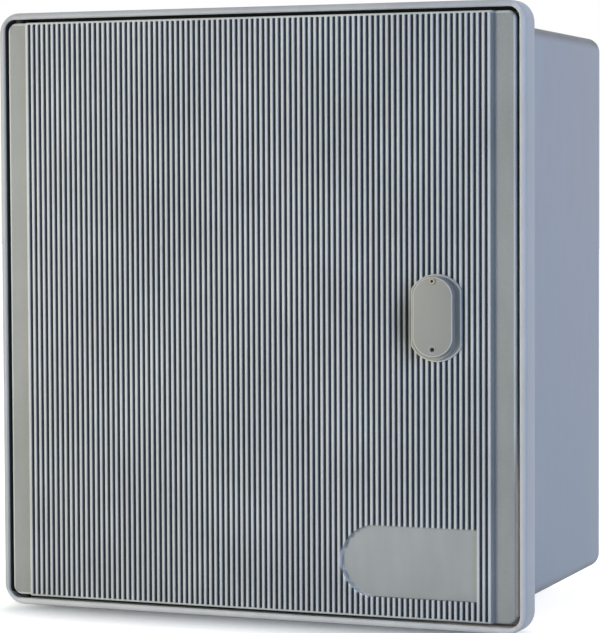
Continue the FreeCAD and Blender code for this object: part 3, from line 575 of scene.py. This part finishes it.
def plated_skin():
    """Fine spangle and rolling lines of plated steel."""
    group, place, given = new_group("plated_skin", SKIN, Tone="Color", Gloss="Float")
    cells = add_node(group, "ShaderNodeTexVoronoi", {"Vector": place, "Scale": 700.0}).outputs["Color"]
    spangle = add_node(group, "ShaderNodeSeparateColor", {0: cells}).outputs[0]
    stain = noise(group, place, scale=120.0, detail=4.0)
    value = weighted_sum(group, 0.82, (spangle, 0.10), (stain, 0.24))
    return put_out(
        group,
        Color=brightened(group, given["Tone"], value),
        Roughness=weighted_sum(group, given["Gloss"], (stain, 0.22), (spangle, 0.06), clamp=True),
        Height=noise(group, stretched(group, place, (1.0, 0.06, 1.0)), scale=1500.0, detail=3.0),
    )


def placed_group(tree, maker, **values):
    """The outputs of a shared group, placed with its own values. Its maker gives it the maker's own name,
    and makes it on its first use.
    """
    shared = bpy.data.node_groups.get(maker.__name__) or maker()
    return add_node(tree, "ShaderNodeGroup", values, node_tree=shared).outputs


# Materials


def cleared_tree(owner):
    """The empty node tree of a new material or world."""
    owner.use_nodes = True
    owner.node_tree.nodes.clear()
    return owner.node_tree


def blank_material(name):
    """A new material with its shader, and the Object coordinates that its pattern reads."""
    material = bpy.data.materials.new(name)
    tree = cleared_tree(material)
    shader = tree.nodes.new("ShaderNodeBsdfPrincipled")
    add_node(tree, "ShaderNodeOutputMaterial", {"Surface": shader.outputs["BSDF"]})
    place = tree.nodes.new("ShaderNodeTexCoord").outputs["Object"]
    return material, tree, shader, place


def finish_shader(tree, shader, colour, roughness, height, bump_mm, strength):
    """Links a finish to the shader, with a bump of the depth given."""
    values = {"Height": height, "Distance": bump_mm * MILLIMETRE, "Strength": strength}
    normal = add_node(tree, "ShaderNodeBump", values).outputs["Normal"]
    for name, value in (("Base Color", colour), ("Roughness", roughness), ("Normal", normal)):
        tree.links.new(value, shader.inputs[name])


def tub_tone(tree, place, on_tub, frame_colour, rear_tone):
    """The frame's colour, and behind it the tub's, in painted shade: darker and bluer than the frame, and
    darker still towards the foot.
    """
    at_foot = ranged(tree, axes_of(tree, place)["Z"], 0.6 * cad_high.z, cad_low.z)
    rear_colour = mixed(tree, at_foot, opaque(rear_tone), opaque(colours().tub_foot))
    return mixed(tree, on_tub, frame_colour, rear_colour)


def door_tone(tree, place, strip_colour):
    """The tones of the ribs and the plate, and a painted shadow of the lock over them."""
    colour = colours()
    ribs = placed_group(
        tree,
        rib_tone,
        Place=place,
        Tone=strip_colour,
        Crest=opaque(colour.rib_crest),
        Groove=opaque(colour.rib_groove),
        Plate=opaque(colour.plate),
        Edge=opaque(colour.door_edge),
    )
    # Painted shadow of the lock over the ribs
    tinted = placed_group(tree, hand_dirt, Place=place)["Mask"]
    return mixed(tree, tinted, ribs["Color"], opaque(colour.hand_dirt))


def moulded_material(
    name,
    tone,
    mottle,
    gloss,
    bump_mm,
    dust=0.0,
    jointed=None,
    ribbed=False,
    highlit_lip=False,
    edge_highlight_tone=None,
    rear_tone=None,
):
    """A moulded finish, with the extras asked for: dust on level faces, painted shade in the joint round the
    door with painted light in its low lock corner, the door's tones with their painted highlights and shade,
    a painted highlight on the lip, painted highlights on round edges, or the tub's painted shade. The joint's
    painted shade is given by the depths in millimetres at which it starts and is full, and by its share.
    """
    material, tree, shader, place = blank_material(name)
    colour = opaque(tone)
    # Behind the frame, the tub takes painted shade
    if rear_tone:
        on_tub = placed_group(tree, outside_tub, Place=place)["Mask"]
        colour = tub_tone(tree, place, on_tub, colour, rear_tone)
    if ribbed:
        colour = door_tone(tree, place, colour)
    grain = placed_group(tree, moulded_grain, Place=place, Tone=colour, Mottle=mottle, Gloss=gloss)
    finish = grain["Color"]
    roughness = grain["Roughness"]
    if dust:
        mask = placed_group(tree, settled_dust, Place=place, Amount=dust)["Mask"]
        finish = mixed(tree, mask, finish, opaque(colours().dust))
        roughness = weighted_sum(tree, roughness, (mask, 0.4), clamp=True)
    if rear_tone:
        # Painted shade on the tub's top and foot rounds
        mask = placed_group(tree, sooty_round, Place=place, Amount=0.85)["Mask"]
        finish = mixed(tree, product(tree, mask, on_tub), finish, opaque(colours().soot))
    # Painted highlight on the frame's lip
    if highlit_lip:
        mask = placed_group(tree, worn_lip, Place=place)["Mask"]
        finish = mixed(tree, mask, finish, opaque(colours().worn_lip))
    # Painted highlight on the round edges
    if edge_highlight_tone:
        forward = absolute(tree, axes_of(tree, face_normal(tree))["Y"])
        on_edge = product(tree, ranged(tree, forward, 0.30, 0.6), ranged(tree, forward, 0.99, 0.9))
        finish = mixed(tree, on_edge, finish, opaque(edge_highlight_tone))
    if jointed:
        start, end, share = jointed
        joint = placed_group(tree, joint_grime, Place=place, Start=start * MILLIMETRE, End=end * MILLIMETRE)
        # Painted shade in the joint, and painted light in its low lock corner
        finish = mixed(tree, product(tree, joint["Mask"], share), finish, opaque(colours().grime))
        finish = mixed(tree, joint["Dust"], finish, opaque(colours().joint_dust))
        roughness = weighted_sum(tree, roughness, (joint["Mask"], 0.5), clamp=True)
    shader.inputs["Specular IOR Level"].default_value = 0.35
    finish_shader(tree, shader, finish, roughness, grain["Height"], bump_mm, strength=0.5)
    return material


def plated_material(name, tone, gloss):
    material, tree, shader, place = blank_material(name)
    skin = placed_group(tree, plated_skin, Place=place, Tone=opaque(tone), Gloss=gloss)
    shader.inputs["Metallic"].default_value = 1.0
    roughness = skin["Roughness"]
    finish_shader(tree, shader, skin["Color"], roughness, skin["Height"], bump_mm=0.02, strength=0.4)
    return material


def board_material():
    """Pressed fibre board: short fibres, specks and a sheen uneven with wear."""
    material, tree, shader, place = blank_material("board")
    fibre = noise(tree, stretched(tree, place, (0.25, 1.0, 1.0)), scale=900.0, detail=4.0, roughness=0.6)
    cloud = noise(tree, place, scale=30.0, detail=3.0)
    speck = ranged(tree, noise(tree, place, scale=1700.0, detail=1.0), 0.62, 0.74)
    value = weighted_sum(tree, 0.62, (fibre, 0.5), (cloud, 0.26))
    colour = brightened(tree, opaque(colours().board), value)
    colour = mixed(tree, product(tree, speck, 0.35), colour, opaque(colours().board_speck))
    roughness = ranged(tree, fibre, 0.2, 0.8, 0.5, 0.72)
    finish_shader(tree, shader, colour, roughness, fibre, bump_mm=0.04, strength=0.5)
    return material


def finish_material(slot):
    """The material of a slot of the record, made on its first use."""
    found = bpy.data.materials.get("finish_" + slot)
    if found:
        return found
    colour = colours()
    # Tone, mottle, gloss and depth of the grain, and the extras
    moulded = {
        "box_grey": (
            (colour.box, 0.25, 0.50, 0.05),
            {"jointed": (1.0, 2.6, 0.95), "highlit_lip": True, "rear_tone": colour.tub},
        ),
        "door_grey": (
            (colour.door, 0.42, 0.52, 0.05),
            {"jointed": (2.4, 5.0, 0.12), "dust": 0.25, "ribbed": True},
        ),
        "lock_grey": ((colour.lock, 0.16, 0.42, 0.03), {"dust": 0.20, "edge_highlight_tone": colour.lock_edge}),
        "black_nylon": ((colour.nylon, 0.20, 0.80, 0.03), {}),
        "black_rubber": ((colour.rubber, 0.25, 0.70, 0.05), {}),
    }
    if slot in moulded:
        grain, extras = moulded[slot]
        material = moulded_material(slot, *grain, **extras)
    elif slot == "board":
        material = board_material()
    else:
        material = plated_material(slot, colour.zinc, gloss=0.26)
    material.name = "finish_" + slot
    return material


# Meshes


def finish_piece(piece, slot, body, *replaced):
    """Gives a finished piece its material, its body and the solids that it stands for."""
    piece.data.materials.clear()
    piece.data.materials.append(finish_material(slot))
    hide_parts(*replaced)
    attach(piece, body)
    return piece


def new_object(name, data):
    """A new object in the scene, at the origin."""
    made = bpy.data.objects.new(name, data)
    bpy.context.scene.collection.objects.link(made)
    return made


def new_piece(name, form):
    """A new object from a finished bmesh."""
    mesh = bpy.data.meshes.new(name)
    form.to_mesh(mesh)
    form.free()
    return new_object(name, mesh)


def smooth_by_angle(form, degrees):
    limit = math.radians(degrees)
    for face in form.faces:
        face.smooth = True
    for edge in form.edges:
        edge.smooth = edge.is_manifold and edge.calc_face_angle(math.pi) < limit


def round_edges(piece, width, segments, degrees=32.0):
    bevel = piece.modifiers.new("edge_round", "BEVEL")
    bevel.limit_method = "ANGLE"
    bevel.angle_limit = math.radians(degrees)
    bevel.width = width
    bevel.segments = segments
    bevel.profile = 0.5
    bevel.use_clamp_overlap = False
    bevel.harden_normals = True


def finished_copy(node, name, slot, width, segments=2, degrees=32.0):
    """A piece from a solid: its triangles are merged, its flats joined and its edges rounded."""
    form = bmesh.new()
    form.from_mesh(frame["nodes"][node].data)
    bmesh.ops.remove_doubles(form, verts=form.verts, dist=0.002 * MILLIMETRE)
    bmesh.ops.dissolve_limit(form, angle_limit=math.radians(0.4), verts=form.verts, edges=form.edges)
    smooth_by_angle(form, degrees)
    piece = new_piece(name, form)
    given_normals = piece.data.attributes.get("custom_normal")
    if given_normals:
        piece.data.attributes.remove(given_normals)
    round_edges(piece, width, segments, degrees)
    return finish_piece(piece, slot, frame["nodes"][node]["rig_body"], node)


def turned_form(form, outline, axis_point, axis, steps):
    """Turns an outline of (radius, distance along the axis) pairs a full turn about the axis."""
    along = Vector(axis)
    outward = Vector((0.0, 0.0, 1.0)) if abs(along.z) < 0.5 else Vector((1.0, 0.0, 0.0))
    origin = Vector(axis_point)
    corners = [form.verts.new(origin + outward * radius + along * run) for radius, run in outline]
    edges = [form.edges.new(pair) for pair in zip(corners, corners[1:])]
    bmesh.ops.spin(
        form, geom=corners + edges, cent=axis_point, axis=axis, angle=FULL_TURN, steps=steps, use_merge=True
    )
    bmesh.ops.remove_doubles(form, verts=form.verts, dist=0.001 * MILLIMETRE)
    bmesh.ops.recalc_face_normals(form, faces=form.faces)


def ring_of(count, radius):
    """Points round a circle, as pairs."""
    turns = [FULL_TURN * number / count for number in range(count)]
    return [(radius * math.cos(turn), radius * math.sin(turn)) for turn in turns]


def cross_outline(arm, half):
    """Corners of a cross with arms of a half width, in order, as pairs."""
    corners = []
    for x, y in ((1, 0), (0, 1), (-1, 0), (0, -1)):
        corners.append((x * arm + y * half, y * arm - x * half))
        corners.append((x * arm - y * half, y * arm + x * half))
        corners.append((half * (x - y), half * (x + y)))
    return corners


def loop_of(form, corners):
    verts = [form.verts.new(corner) for corner in corners]
    edges = [form.edges.new((vert, verts[number - 1])) for number, vert in enumerate(verts)]
    return verts, edges


def verts_in(geometry):
    return [item for item in geometry if isinstance(item, bmesh.types.BMVert)]


def edges_in(geometry):
    return [item for item in geometry if isinstance(item, bmesh.types.BMEdge)]


def cross_screw(form, place, head, shank, height, length):
    """A domed screw with a cross recess. Before it is placed, its head looks along +Z and seats at zero."""
    made_before = set(form.verts)
    top_radius = head * 0.55
    recess = cross_outline(arm=head * 0.46, half=head * 0.13)
    recess_depth = height * 0.62
    recess_taper = 0.62
    outer_edges = loop_of(form, [(x, y, height) for x, y in ring_of(24, top_radius)])[1]
    inner_edges = loop_of(form, [(x, y, height) for x, y in recess])[1]
    bmesh.ops.triangle_fill(form, edges=outer_edges + inner_edges, use_beauty=True)
    sunk = bmesh.ops.extrude_edge_only(form, edges=inner_edges)["geom"]
    bmesh.ops.scale(form, verts=verts_in(sunk), vec=(recess_taper, recess_taper, 1.0))
    bmesh.ops.translate(form, verts=verts_in(sunk), vec=(0.0, 0.0, -recess_depth))
    bmesh.ops.edgenet_fill(form, edges=edges_in(sunk))
    rings = [(head * 0.83, height * 0.88), (head * 0.96, height * 0.62), (head, height * 0.30)]
    rings += [(head * 0.98, 0.0), (shank, 0.0), (shank, -length * 0.92), (shank * 0.55, -length)]
    rim = outer_edges
    radius = top_radius
    level = height
    for next_radius, next_level in rings:
        grown = bmesh.ops.extrude_edge_only(form, edges=rim)["geom"]
        rim = edges_in(grown)
        growth = next_radius / radius
        bmesh.ops.scale(form, verts=verts_in(grown), vec=(growth, growth, 1.0))
        bmesh.ops.translate(form, verts=verts_in(grown), vec=(0.0, 0.0, next_level - level))
        radius = next_radius
        level = next_level
    bmesh.ops.edgenet_fill(form, edges=rim)
    bmesh.ops.transform(form, matrix=place, verts=[vert for vert in form.verts if vert not in made_before])


def hexagon_form(form, y_seat, y_end, across_flats, bore):
    """A hexagon on the lock's axis with one flat down, its corners cut back at the end off the seat."""
    near = 0.001 * MILLIMETRE
    low, high = sorted((y_seat, y_end))
    half_flats = across_flats / 2
    cut_reach = half_flats * 1.01
    corners = [(LOCK_X + x, low, LOCK_Z + z) for x, z in ring_of(6, half_flats / math.cos(math.pi / 6))]
    outer = form.faces.new(loop_of(form, corners)[0])
    grown = bmesh.ops.extrude_face_region(form, geom=[outer])["geom"]
    bmesh.ops.translate(form, verts=verts_in(grown), vec=(0.0, high - low, 0.0))
    bmesh.ops.recalc_face_normals(form, faces=form.faces)
    cut_angle = math.radians(30.0)
    away = Vector((0.0, 1.0 if y_end > y_seat else -1.0, 0.0))
    for x, z in ring_of(6, 1.0):
        outward = Vector((x, 0.0, z))
        cut = bmesh.ops.bisect_plane(
            form,
            geom=form.verts[:] + form.edges[:] + form.faces[:],
            plane_co=Vector((LOCK_X, y_end, LOCK_Z)) + outward * cut_reach,
            plane_no=outward * math.sin(cut_angle) + away * math.cos(cut_angle),
            clear_outer=True,
            dist=near,
        )
        bmesh.ops.holes_fill(form, edges=edges_in(cut["geom_cut"]), sides=0)
    if bore:
        for y in (low, high):
            level_faces = [face for face in form.faces if abs(face.normal.y) > 0.99]
            ends = [face for face in level_faces if abs(face.calc_center_median().y - y) < near]
            rim = [edge for edge in form.edges if sum(face in ends for face in edge.link_faces) == 1]
            bmesh.ops.delete(form, geom=ends, context="FACES_ONLY")
            circle = [(LOCK_X + x, y, LOCK_Z + z) for x, z in ring_of(48, bore)]
            bmesh.ops.triangle_fill(form, edges=rim + loop_of(form, circle)[1], use_beauty=True)
        bmesh.ops.bridge_loops(form, edges=[edge for edge in form.edges if edge.is_boundary])
    bmesh.ops.recalc_face_normals(form, faces=form.faces)


# Operators, one for each piece or group of like pieces


class METERBOX_OT_finish_box(bpy.types.Operator):
    """Finish the moulded body: merged faces, softened edges and the box grey"""

    bl_idname = "meterbox.finish_box"
    bl_label = "Finish Box"

    def execute(self, context):
        finished_copy("box_body", "box_shell", "box_grey", sizes().moulding_round)
        return {"FINISHED"}


class METERBOX_OT_finish_door(bpy.types.Operator):
    """Finish the ribbed door: softened ribs and the rib tones"""

    bl_idname = "meterbox.finish_door"
    bl_label = "Finish Door"

    def execute(self, context):
        finished_copy("door_panel", "ribbed_door", "door_grey", sizes().moulding_round)
        return {"FINISHED"}


class METERBOX_OT_finish_lock(bpy.types.Operator):
    """Finish the lock case and its swinging cover, and cut the thread on the barrel"""

    bl_idname = "meterbox.finish_lock"
    bl_label = "Finish Lock"

    def add_thread(self):
        """A thread wound round the barrel, from the nut nearly to the barrel's end."""
        size = sizes()
        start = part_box("lock_nut")[1].y
        plain_end_turns = 0.6
        turns = (CASE_HIGH.y - start) / size.thread_pitch - plain_end_turns
        steps_per_turn = 40
        sunk = 0.1 * MILLIMETRE
        root = size.barrel_radius - sunk
        half_width = size.thread_pitch * 0.42
        section = ((root, -half_width), (root + size.thread_rise, 0.0), (root, half_width))
        first_middle = start + size.thread_pitch * 0.5
        form = bmesh.new()
        places = [(LOCK_X, first_middle + run, LOCK_Z + radius) for radius, run in section]
        corners, edges = loop_of(form, places)
        face = form.faces.new(corners)
        bmesh.ops.spin(
            form,
            geom=corners + edges + [face],
            cent=(LOCK_X, 0.0, LOCK_Z),
            axis=(0.0, 1.0, 0.0),
            dvec=(0.0, size.thread_pitch / steps_per_turn, 0.0),
            angle=FULL_TURN * turns,
            steps=round(steps_per_turn * turns),
        )
        bmesh.ops.recalc_face_normals(form, faces=form.faces)
        smooth_by_angle(form, degrees=40.0)
        thread = new_piece("barrel_thread", form)
        thread.data.materials.append(finish_material("lock_grey"))
        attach(thread, "door")

    def execute(self, context):
        finished_copy("lock_case", "lock_housing", "lock_grey", sizes().lock_round)
        finished_copy("lock_cover", "lock_flap", "lock_grey", sizes().lock_round)
        self.add_thread()
        return {"FINISHED"}


class METERBOX_OT_finish_metal(bpy.types.Operator):
    """Finish the sheet metal, the spindle and the pins in plated steel"""

    bl_idname = "meterbox.finish_metal"
    bl_label = "Finish Metal"

    def execute(self, context):
        rounding = sizes().metal_round
        finished_copy("strike_plate", "strike_hook", "zinc_steel", rounding)
        finished_copy("lock_cam", "cam_tongue", "zinc_steel", rounding)
        finished_copy("lock_spindle", "key_spindle", "zinc_steel", rounding / 2)
        finished_copy("cam_washer", "cam_plain_washer", "zinc_steel", rounding / 2)
        for name in ("hinge_pin_upper", "hinge_pin_lower"):
            pin = frame["nodes"][name]
            pin.data.materials.clear()
            pin.data.materials.append(finish_material("zinc_steel"))
        return {"FINISHED"}


class METERBOX_OT_finish_inside(bpy.types.Operator):
    """Finish the mounting plate, the hinge washers and the seals"""

    bl_idname = "meterbox.finish_inside"
    bl_label = "Finish Inside"

    def execute(self, context):
        size = sizes()
        finished_copy("mounting_plate", "meter_board", "board", size.metal_round)
        finished_copy("hinge_washer_upper", "upper_hinge_washer", "black_nylon", size.metal_round)
        finished_copy("hinge_washer_lower", "lower_hinge_washer", "black_nylon", size.metal_round)
        finished_copy("door_seal", "door_gasket", "black_rubber", size.rubber_round, segments=4)
        finished_copy("spindle_ring", "spindle_wiper", "black_rubber", size.metal_round)
        return {"FINISHED"}


class METERBOX_OT_add_rivet(bpy.types.Operator):
    """Make the hollow rivet with a rolled head that the lock cover swings on"""

    bl_idname = "meterbox.add_rivet"
    bl_label = "Add Cover Rivet"

    def execute(self, context):
        size = sizes()
        low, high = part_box("cover_rivet")
        head = (high.x - low.x) / 2
        bore = size.rivet_bore
        rise = 0.8 * MILLIMETRE
        length = high.y - low.y
        bore_depth = length * 0.55
        outline = [(0.0, bore_depth), (bore, bore_depth), (bore, rise * 0.75), (bore * 1.12, rise * 0.35)]
        outline += [(bore * 1.45, rise * 0.06), (head * 0.72, 0.0), (head * 0.9, rise * 0.2)]
        outline += [(head, rise * 0.55), (head * 0.97, rise), (size.rivet_shank, rise)]
        outline += [(size.rivet_shank, length), (0.0, length)]
        form = bmesh.new()
        centre = Vector(((low.x + high.x) / 2, low.y, (low.z + high.z) / 2))
        turned_form(form, outline, centre, (0.0, 1.0, 0.0), steps=40)
        smooth_by_angle(form, degrees=50.0)
        rivet = finish_piece(new_piece("rolled_rivet", form), "zinc_steel", "door", "cover_rivet")
        rivet.data.materials[0] = plated_material("yellow_zinc", colours().yellow_zinc, gloss=0.50)
        return {"FINISHED"}


class METERBOX_OT_add_screws(bpy.types.Operator):
    """Make the cross-recessed screws of the mounting plate and of the strike"""

    bl_idname = "meterbox.add_screws"
    bl_label = "Add Screws"

    def finish_screws(self, form, name, node):
        bmesh.ops.recalc_face_normals(form, faces=form.faces)
        smooth_by_angle(form, degrees=40.0)
        finish_piece(new_piece(name, form), "zinc_steel", "box", node)

    def execute(self, context):
        size = sizes()
        twist = 0.3
        twist_step = 0.8
        form = bmesh.new()
        low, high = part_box("plate_screws")
        head = size.plate_screw_head
        shank = size.plate_screw_shank
        seat = low.y + size.plate_screw_height
        forwards = Matrix.Rotation(math.pi / 2, 4, "X")
        for x in (low.x + head, high.x - head):
            for z in (low.z + head, high.z - head):
                place = Matrix.Translation((x, seat, z)) @ forwards @ Matrix.Rotation(twist, 4, "Z")
                cross_screw(form, place, head, shank, size.plate_screw_height, high.y - seat)
                twist += twist_step
        self.finish_screws(form, "plate_fixing_screws", "plate_screws")

        form = bmesh.new()
        low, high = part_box("strike_screws")
        head = size.strike_screw_head
        shank = size.strike_screw_shank
        seat = low.x + size.strike_screw_height
        middle_y = (low.y + high.y) / 2
        sideways = Matrix.Rotation(-math.pi / 2, 4, "Y")
        for z in (low.z + head, high.z - head):
            place = Matrix.Translation((seat, middle_y, z)) @ sideways @ Matrix.Rotation(twist, 4, "Z")
            cross_screw(form, place, head, shank, size.strike_screw_height, high.x - seat)
            twist += twist_step
        self.finish_screws(form, "strike_fixing_screws", "strike_screws")
        return {"FINISHED"}


class METERBOX_OT_add_hexagons(bpy.types.Operator):
    """Make the lock nut and the cam screw, with their hexagons' corners cut back"""

    bl_idname = "meterbox.add_hexagons"
    bl_label = "Add Nut and Cam Screw"

    def finish_hexagon(self, form, name, body, node):
        smooth_by_angle(form, degrees=28.0)
        piece = new_piece(name, form)
        round_edges(piece, sizes().metal_round * 0.6, segments=2)
        finish_piece(piece, "zinc_steel", body, node)

    def execute(self, context):
        size = sizes()
        low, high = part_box("lock_nut")
        form = bmesh.new()
        hexagon_form(form, low.y, high.y, high.z - low.z, size.nut_bore)
        self.finish_hexagon(form, "barrel_nut", "door", "lock_nut")

        low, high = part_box("cam_screw")
        seat = high.y - size.cam_screw_height
        form = bmesh.new()
        hexagon_form(form, seat, high.y, high.z - low.z, bore=0.0)
        radius = size.cam_screw_shank
        point_radius = radius * 0.8
        point_end = low.y + 0.6 * MILLIMETRE
        sunk_end = seat + 0.4 * MILLIMETRE
        shank = [(0.0, low.y), (point_radius, low.y), (radius, point_end)]
        shank += [(radius, sunk_end), (0.0, sunk_end)]
        turned_form(form, shank, (LOCK_X, 0.0, LOCK_Z), (0.0, 1.0, 0.0), steps=32)
        self.finish_hexagon(form, "cam_fixing_screw", "lock_rotor", "cam_screw")
        return {"FINISHED"}


# Each lamp's name, place, width, power property and colour
LAMPS = (
    ("key_lamp", (-0.68, -1.47, 0.12), 0.6, "key_power", (1.0, 0.955, 0.79)),
    ("top_lamp", (0.30, 0.10, 1.80), 0.8, "top_power", (1.0, 1.0, 1.0)),
    ("fill_lamp", (1.25, -1.15, 0.40), 0.5, "fill_power", (0.15, 0.42, 1.0)),
    ("side_lamp", (1.60, 0.05, 0.80), 0.6, "side_power", (0.85, 0.92, 1.0)),
    ("back_lamp", (-1.20, 1.50, 0.35), 0.8, "back_power", (1.0, 1.0, 1.0)),
)
LAMP_AIM = Vector((0.0, -0.15, 0.0))


class METERBOX_OT_build_studio(bpy.types.Operator):
    """Set the camera, the soft lamps, the pale floor and the white surround"""

    bl_idname = "meterbox.build_studio"
    bl_label = "Build Studio"

    def add_lamp(self, name, place, width, power, colour):
        data = bpy.data.lights.new(name, "AREA")
        data.shape = "DISK"
        data.size = width
        data.energy = power
        data.color = colour
        lamp = new_object(name, data)
        lamp.location = place
        lamp.rotation_euler = (LAMP_AIM - Vector(place)).to_track_quat("-Z", "Y").to_euler()
        lamp.visible_camera = False

    def seen_directly(self, tree):
        """1 where the eye sees a surface directly, in a mirror or through glass."""
        path = tree.nodes.new("ShaderNodeLightPath").outputs
        mirrored = larger(tree, path["Is Glossy Ray"], path["Is Transmission Ray"])
        return larger(tree, path["Is Camera Ray"], mirrored)

    def floor_material(self):
        """White that glows clear of the box, with a soft shade where the floor meets it."""
        material = bpy.data.materials.new("studio_floor")
        tree = cleared_tree(material)
        place = tree.nodes.new("ShaderNodeTexCoord").outputs["Object"]
        reach = {"Distance": studio().contact_reach}
        cover = add_node(tree, "ShaderNodeAmbientOcclusion", reach, samples=16)
        half_open = minus(tree, cover.outputs["AO"], 0.5)
        openness = arithmetic(tree, "MULTIPLY", half_open, 2.2, clamp=True)
        white = opaque(colours().floor)
        paint = add_node(tree, "ShaderNodeBsdfDiffuse", {"Color": white}).outputs[0]
        contact_shade = 0.6
        shaded_colour = mixed(tree, openness, opaque(colours().floor * contact_shade), white)
        shaded_paint = add_node(tree, "ShaderNodeBsdfDiffuse", {"Color": shaded_colour}).outputs[0]
        axes = axes_of(tree, place)
        beside = absolute(tree, axes["X"])
        clear_glow = 0.85
        rear_glow = ranged(tree, axes["Y"], LIP_Y, LIP_Y + 30 * MILLIMETRE, 0.0, clear_glow)
        side_glow = ranged(tree, beside, 0.75 * cad_high.x, 1.05 * cad_high.x, 0.0, clear_glow)
        strength = larger(tree, openness, larger(tree, rear_glow, side_glow))
        glow = add_node(tree, "ShaderNodeEmission", {"Strength": strength}).outputs[0]
        lifted = add_node(tree, "ShaderNodeAddShader", {0: shaded_paint, 1: glow}).outputs[0]
        chosen = add_node(tree, "ShaderNodeMixShader", {0: self.seen_directly(tree), 1: paint, 2: lifted})
        add_node(tree, "ShaderNodeOutputMaterial", {"Surface": chosen.outputs[0]})
        return material

    def add_floor(self):
        form = bmesh.new()
        bmesh.ops.create_grid(form, x_segments=1, y_segments=1, size=8.0)
        bmesh.ops.translate(form, verts=form.verts, vec=(0.0, 0.0, cad_low.z))
        floor = new_piece("floor", form)
        floor.data.materials.append(self.floor_material())

    def add_surround(self):
        world = bpy.data.worlds.new("studio_surround")
        tree = cleared_tree(world)
        light = {"Color": (0.92, 0.96, 1.0, 1.0), "Strength": studio().sky_strength}
        sky = add_node(tree, "ShaderNodeBackground", light).outputs[0]
        white_light = {"Color": (1.0, 1.0, 1.0, 1.0), "Strength": 1.0}
        white = add_node(tree, "ShaderNodeBackground", white_light).outputs[0]
        chosen = add_node(tree, "ShaderNodeMixShader", {0: self.seen_directly(tree), 1: sky, 2: white})
        add_node(tree, "ShaderNodeOutputWorld", {"Surface": chosen.outputs[0]})
        bpy.context.scene.world = world

    def add_camera(self):
        values = studio()
        data = bpy.data.cameras.new("camera")
        data.lens = values.lens
        data.sensor_fit = "AUTO"
        data.sensor_width = 36.0
        data.clip_end = 50.0
        camera = new_object("camera", data)
        turn = Matrix.Rotation(values.camera_turn, 4, "Z")
        dip = Matrix.Rotation(math.pi / 2 - values.camera_dip, 4, "X")
        roll = Matrix.Rotation(values.camera_roll, 4, "Z")
        camera.matrix_world = Matrix.Translation(values.camera_place) @ turn @ dip @ roll
        bpy.context.scene.camera = camera

    def execute(self, context):
        self.add_camera()
        self.add_floor()
        self.add_surround()
        for name, place, width, power, colour in LAMPS:
            self.add_lamp(name, place, width, getattr(studio(), power), colour)
        context.scene.view_settings.view_transform = "Standard"
        return {"FINISHED"}


OPERATORS = (
    METERBOX_OT_finish_box,
    METERBOX_OT_finish_door,
    METERBOX_OT_finish_lock,
    METERBOX_OT_finish_metal,
    METERBOX_OT_finish_inside,
    METERBOX_OT_add_rivet,
    METERBOX_OT_add_screws,
    METERBOX_OT_add_hexagons,
    METERBOX_OT_build_studio,
)


class METERBOX_PT_sidebar(bpy.types.Panel):
    """The steps and values of the meter box"""

    bl_idname = "METERBOX_PT_sidebar"
    bl_label = "Electric Meter Box"
    bl_space_type = "VIEW_3D"
    bl_region_type = "UI"
    bl_category = "Meter Box"

    def draw(self, context):
        layout = self.layout
        for operator in OPERATORS:
            layout.operator(operator.bl_idname)
        for title, group in (("Colours", colours()), ("Sizes", sizes()), ("Studio", studio())):
            box = layout.box()
            box.label(text=title)
            for key in group.bl_rna.properties.keys():
                if key not in ("rna_type", "name"):
                    box.prop(group, key)


CLASSES = (MeterBoxColours, MeterBoxSizes, MeterBoxStudio) + OPERATORS + (METERBOX_PT_sidebar,)


def register():
    for item in CLASSES:
        bpy.utils.register_class(item)
    bpy.types.Scene.meter_box_colours = bpy.props.PointerProperty(type=MeterBoxColours)
    bpy.types.Scene.meter_box_sizes = bpy.props.PointerProperty(type=MeterBoxSizes)
    bpy.types.Scene.meter_box_studio = bpy.props.PointerProperty(type=MeterBoxStudio)


def unregister():
    del bpy.types.Scene.meter_box_colours
    del bpy.types.Scene.meter_box_sizes
    del bpy.types.Scene.meter_box_studio
    for item in reversed(CLASSES):
        bpy.utils.unregister_class(item)


def main():
    register()
    bpy.ops.meterbox.finish_box()
    bpy.ops.meterbox.finish_door()
    bpy.ops.meterbox.finish_lock()
    bpy.ops.meterbox.finish_metal()
    bpy.ops.meterbox.finish_inside()
    bpy.ops.meterbox.add_rivet()
    bpy.ops.meterbox.add_screws()
    bpy.ops.meterbox.add_hexagons()
    bpy.ops.meterbox.build_studio()


if __name__ == "__main__":
    main()
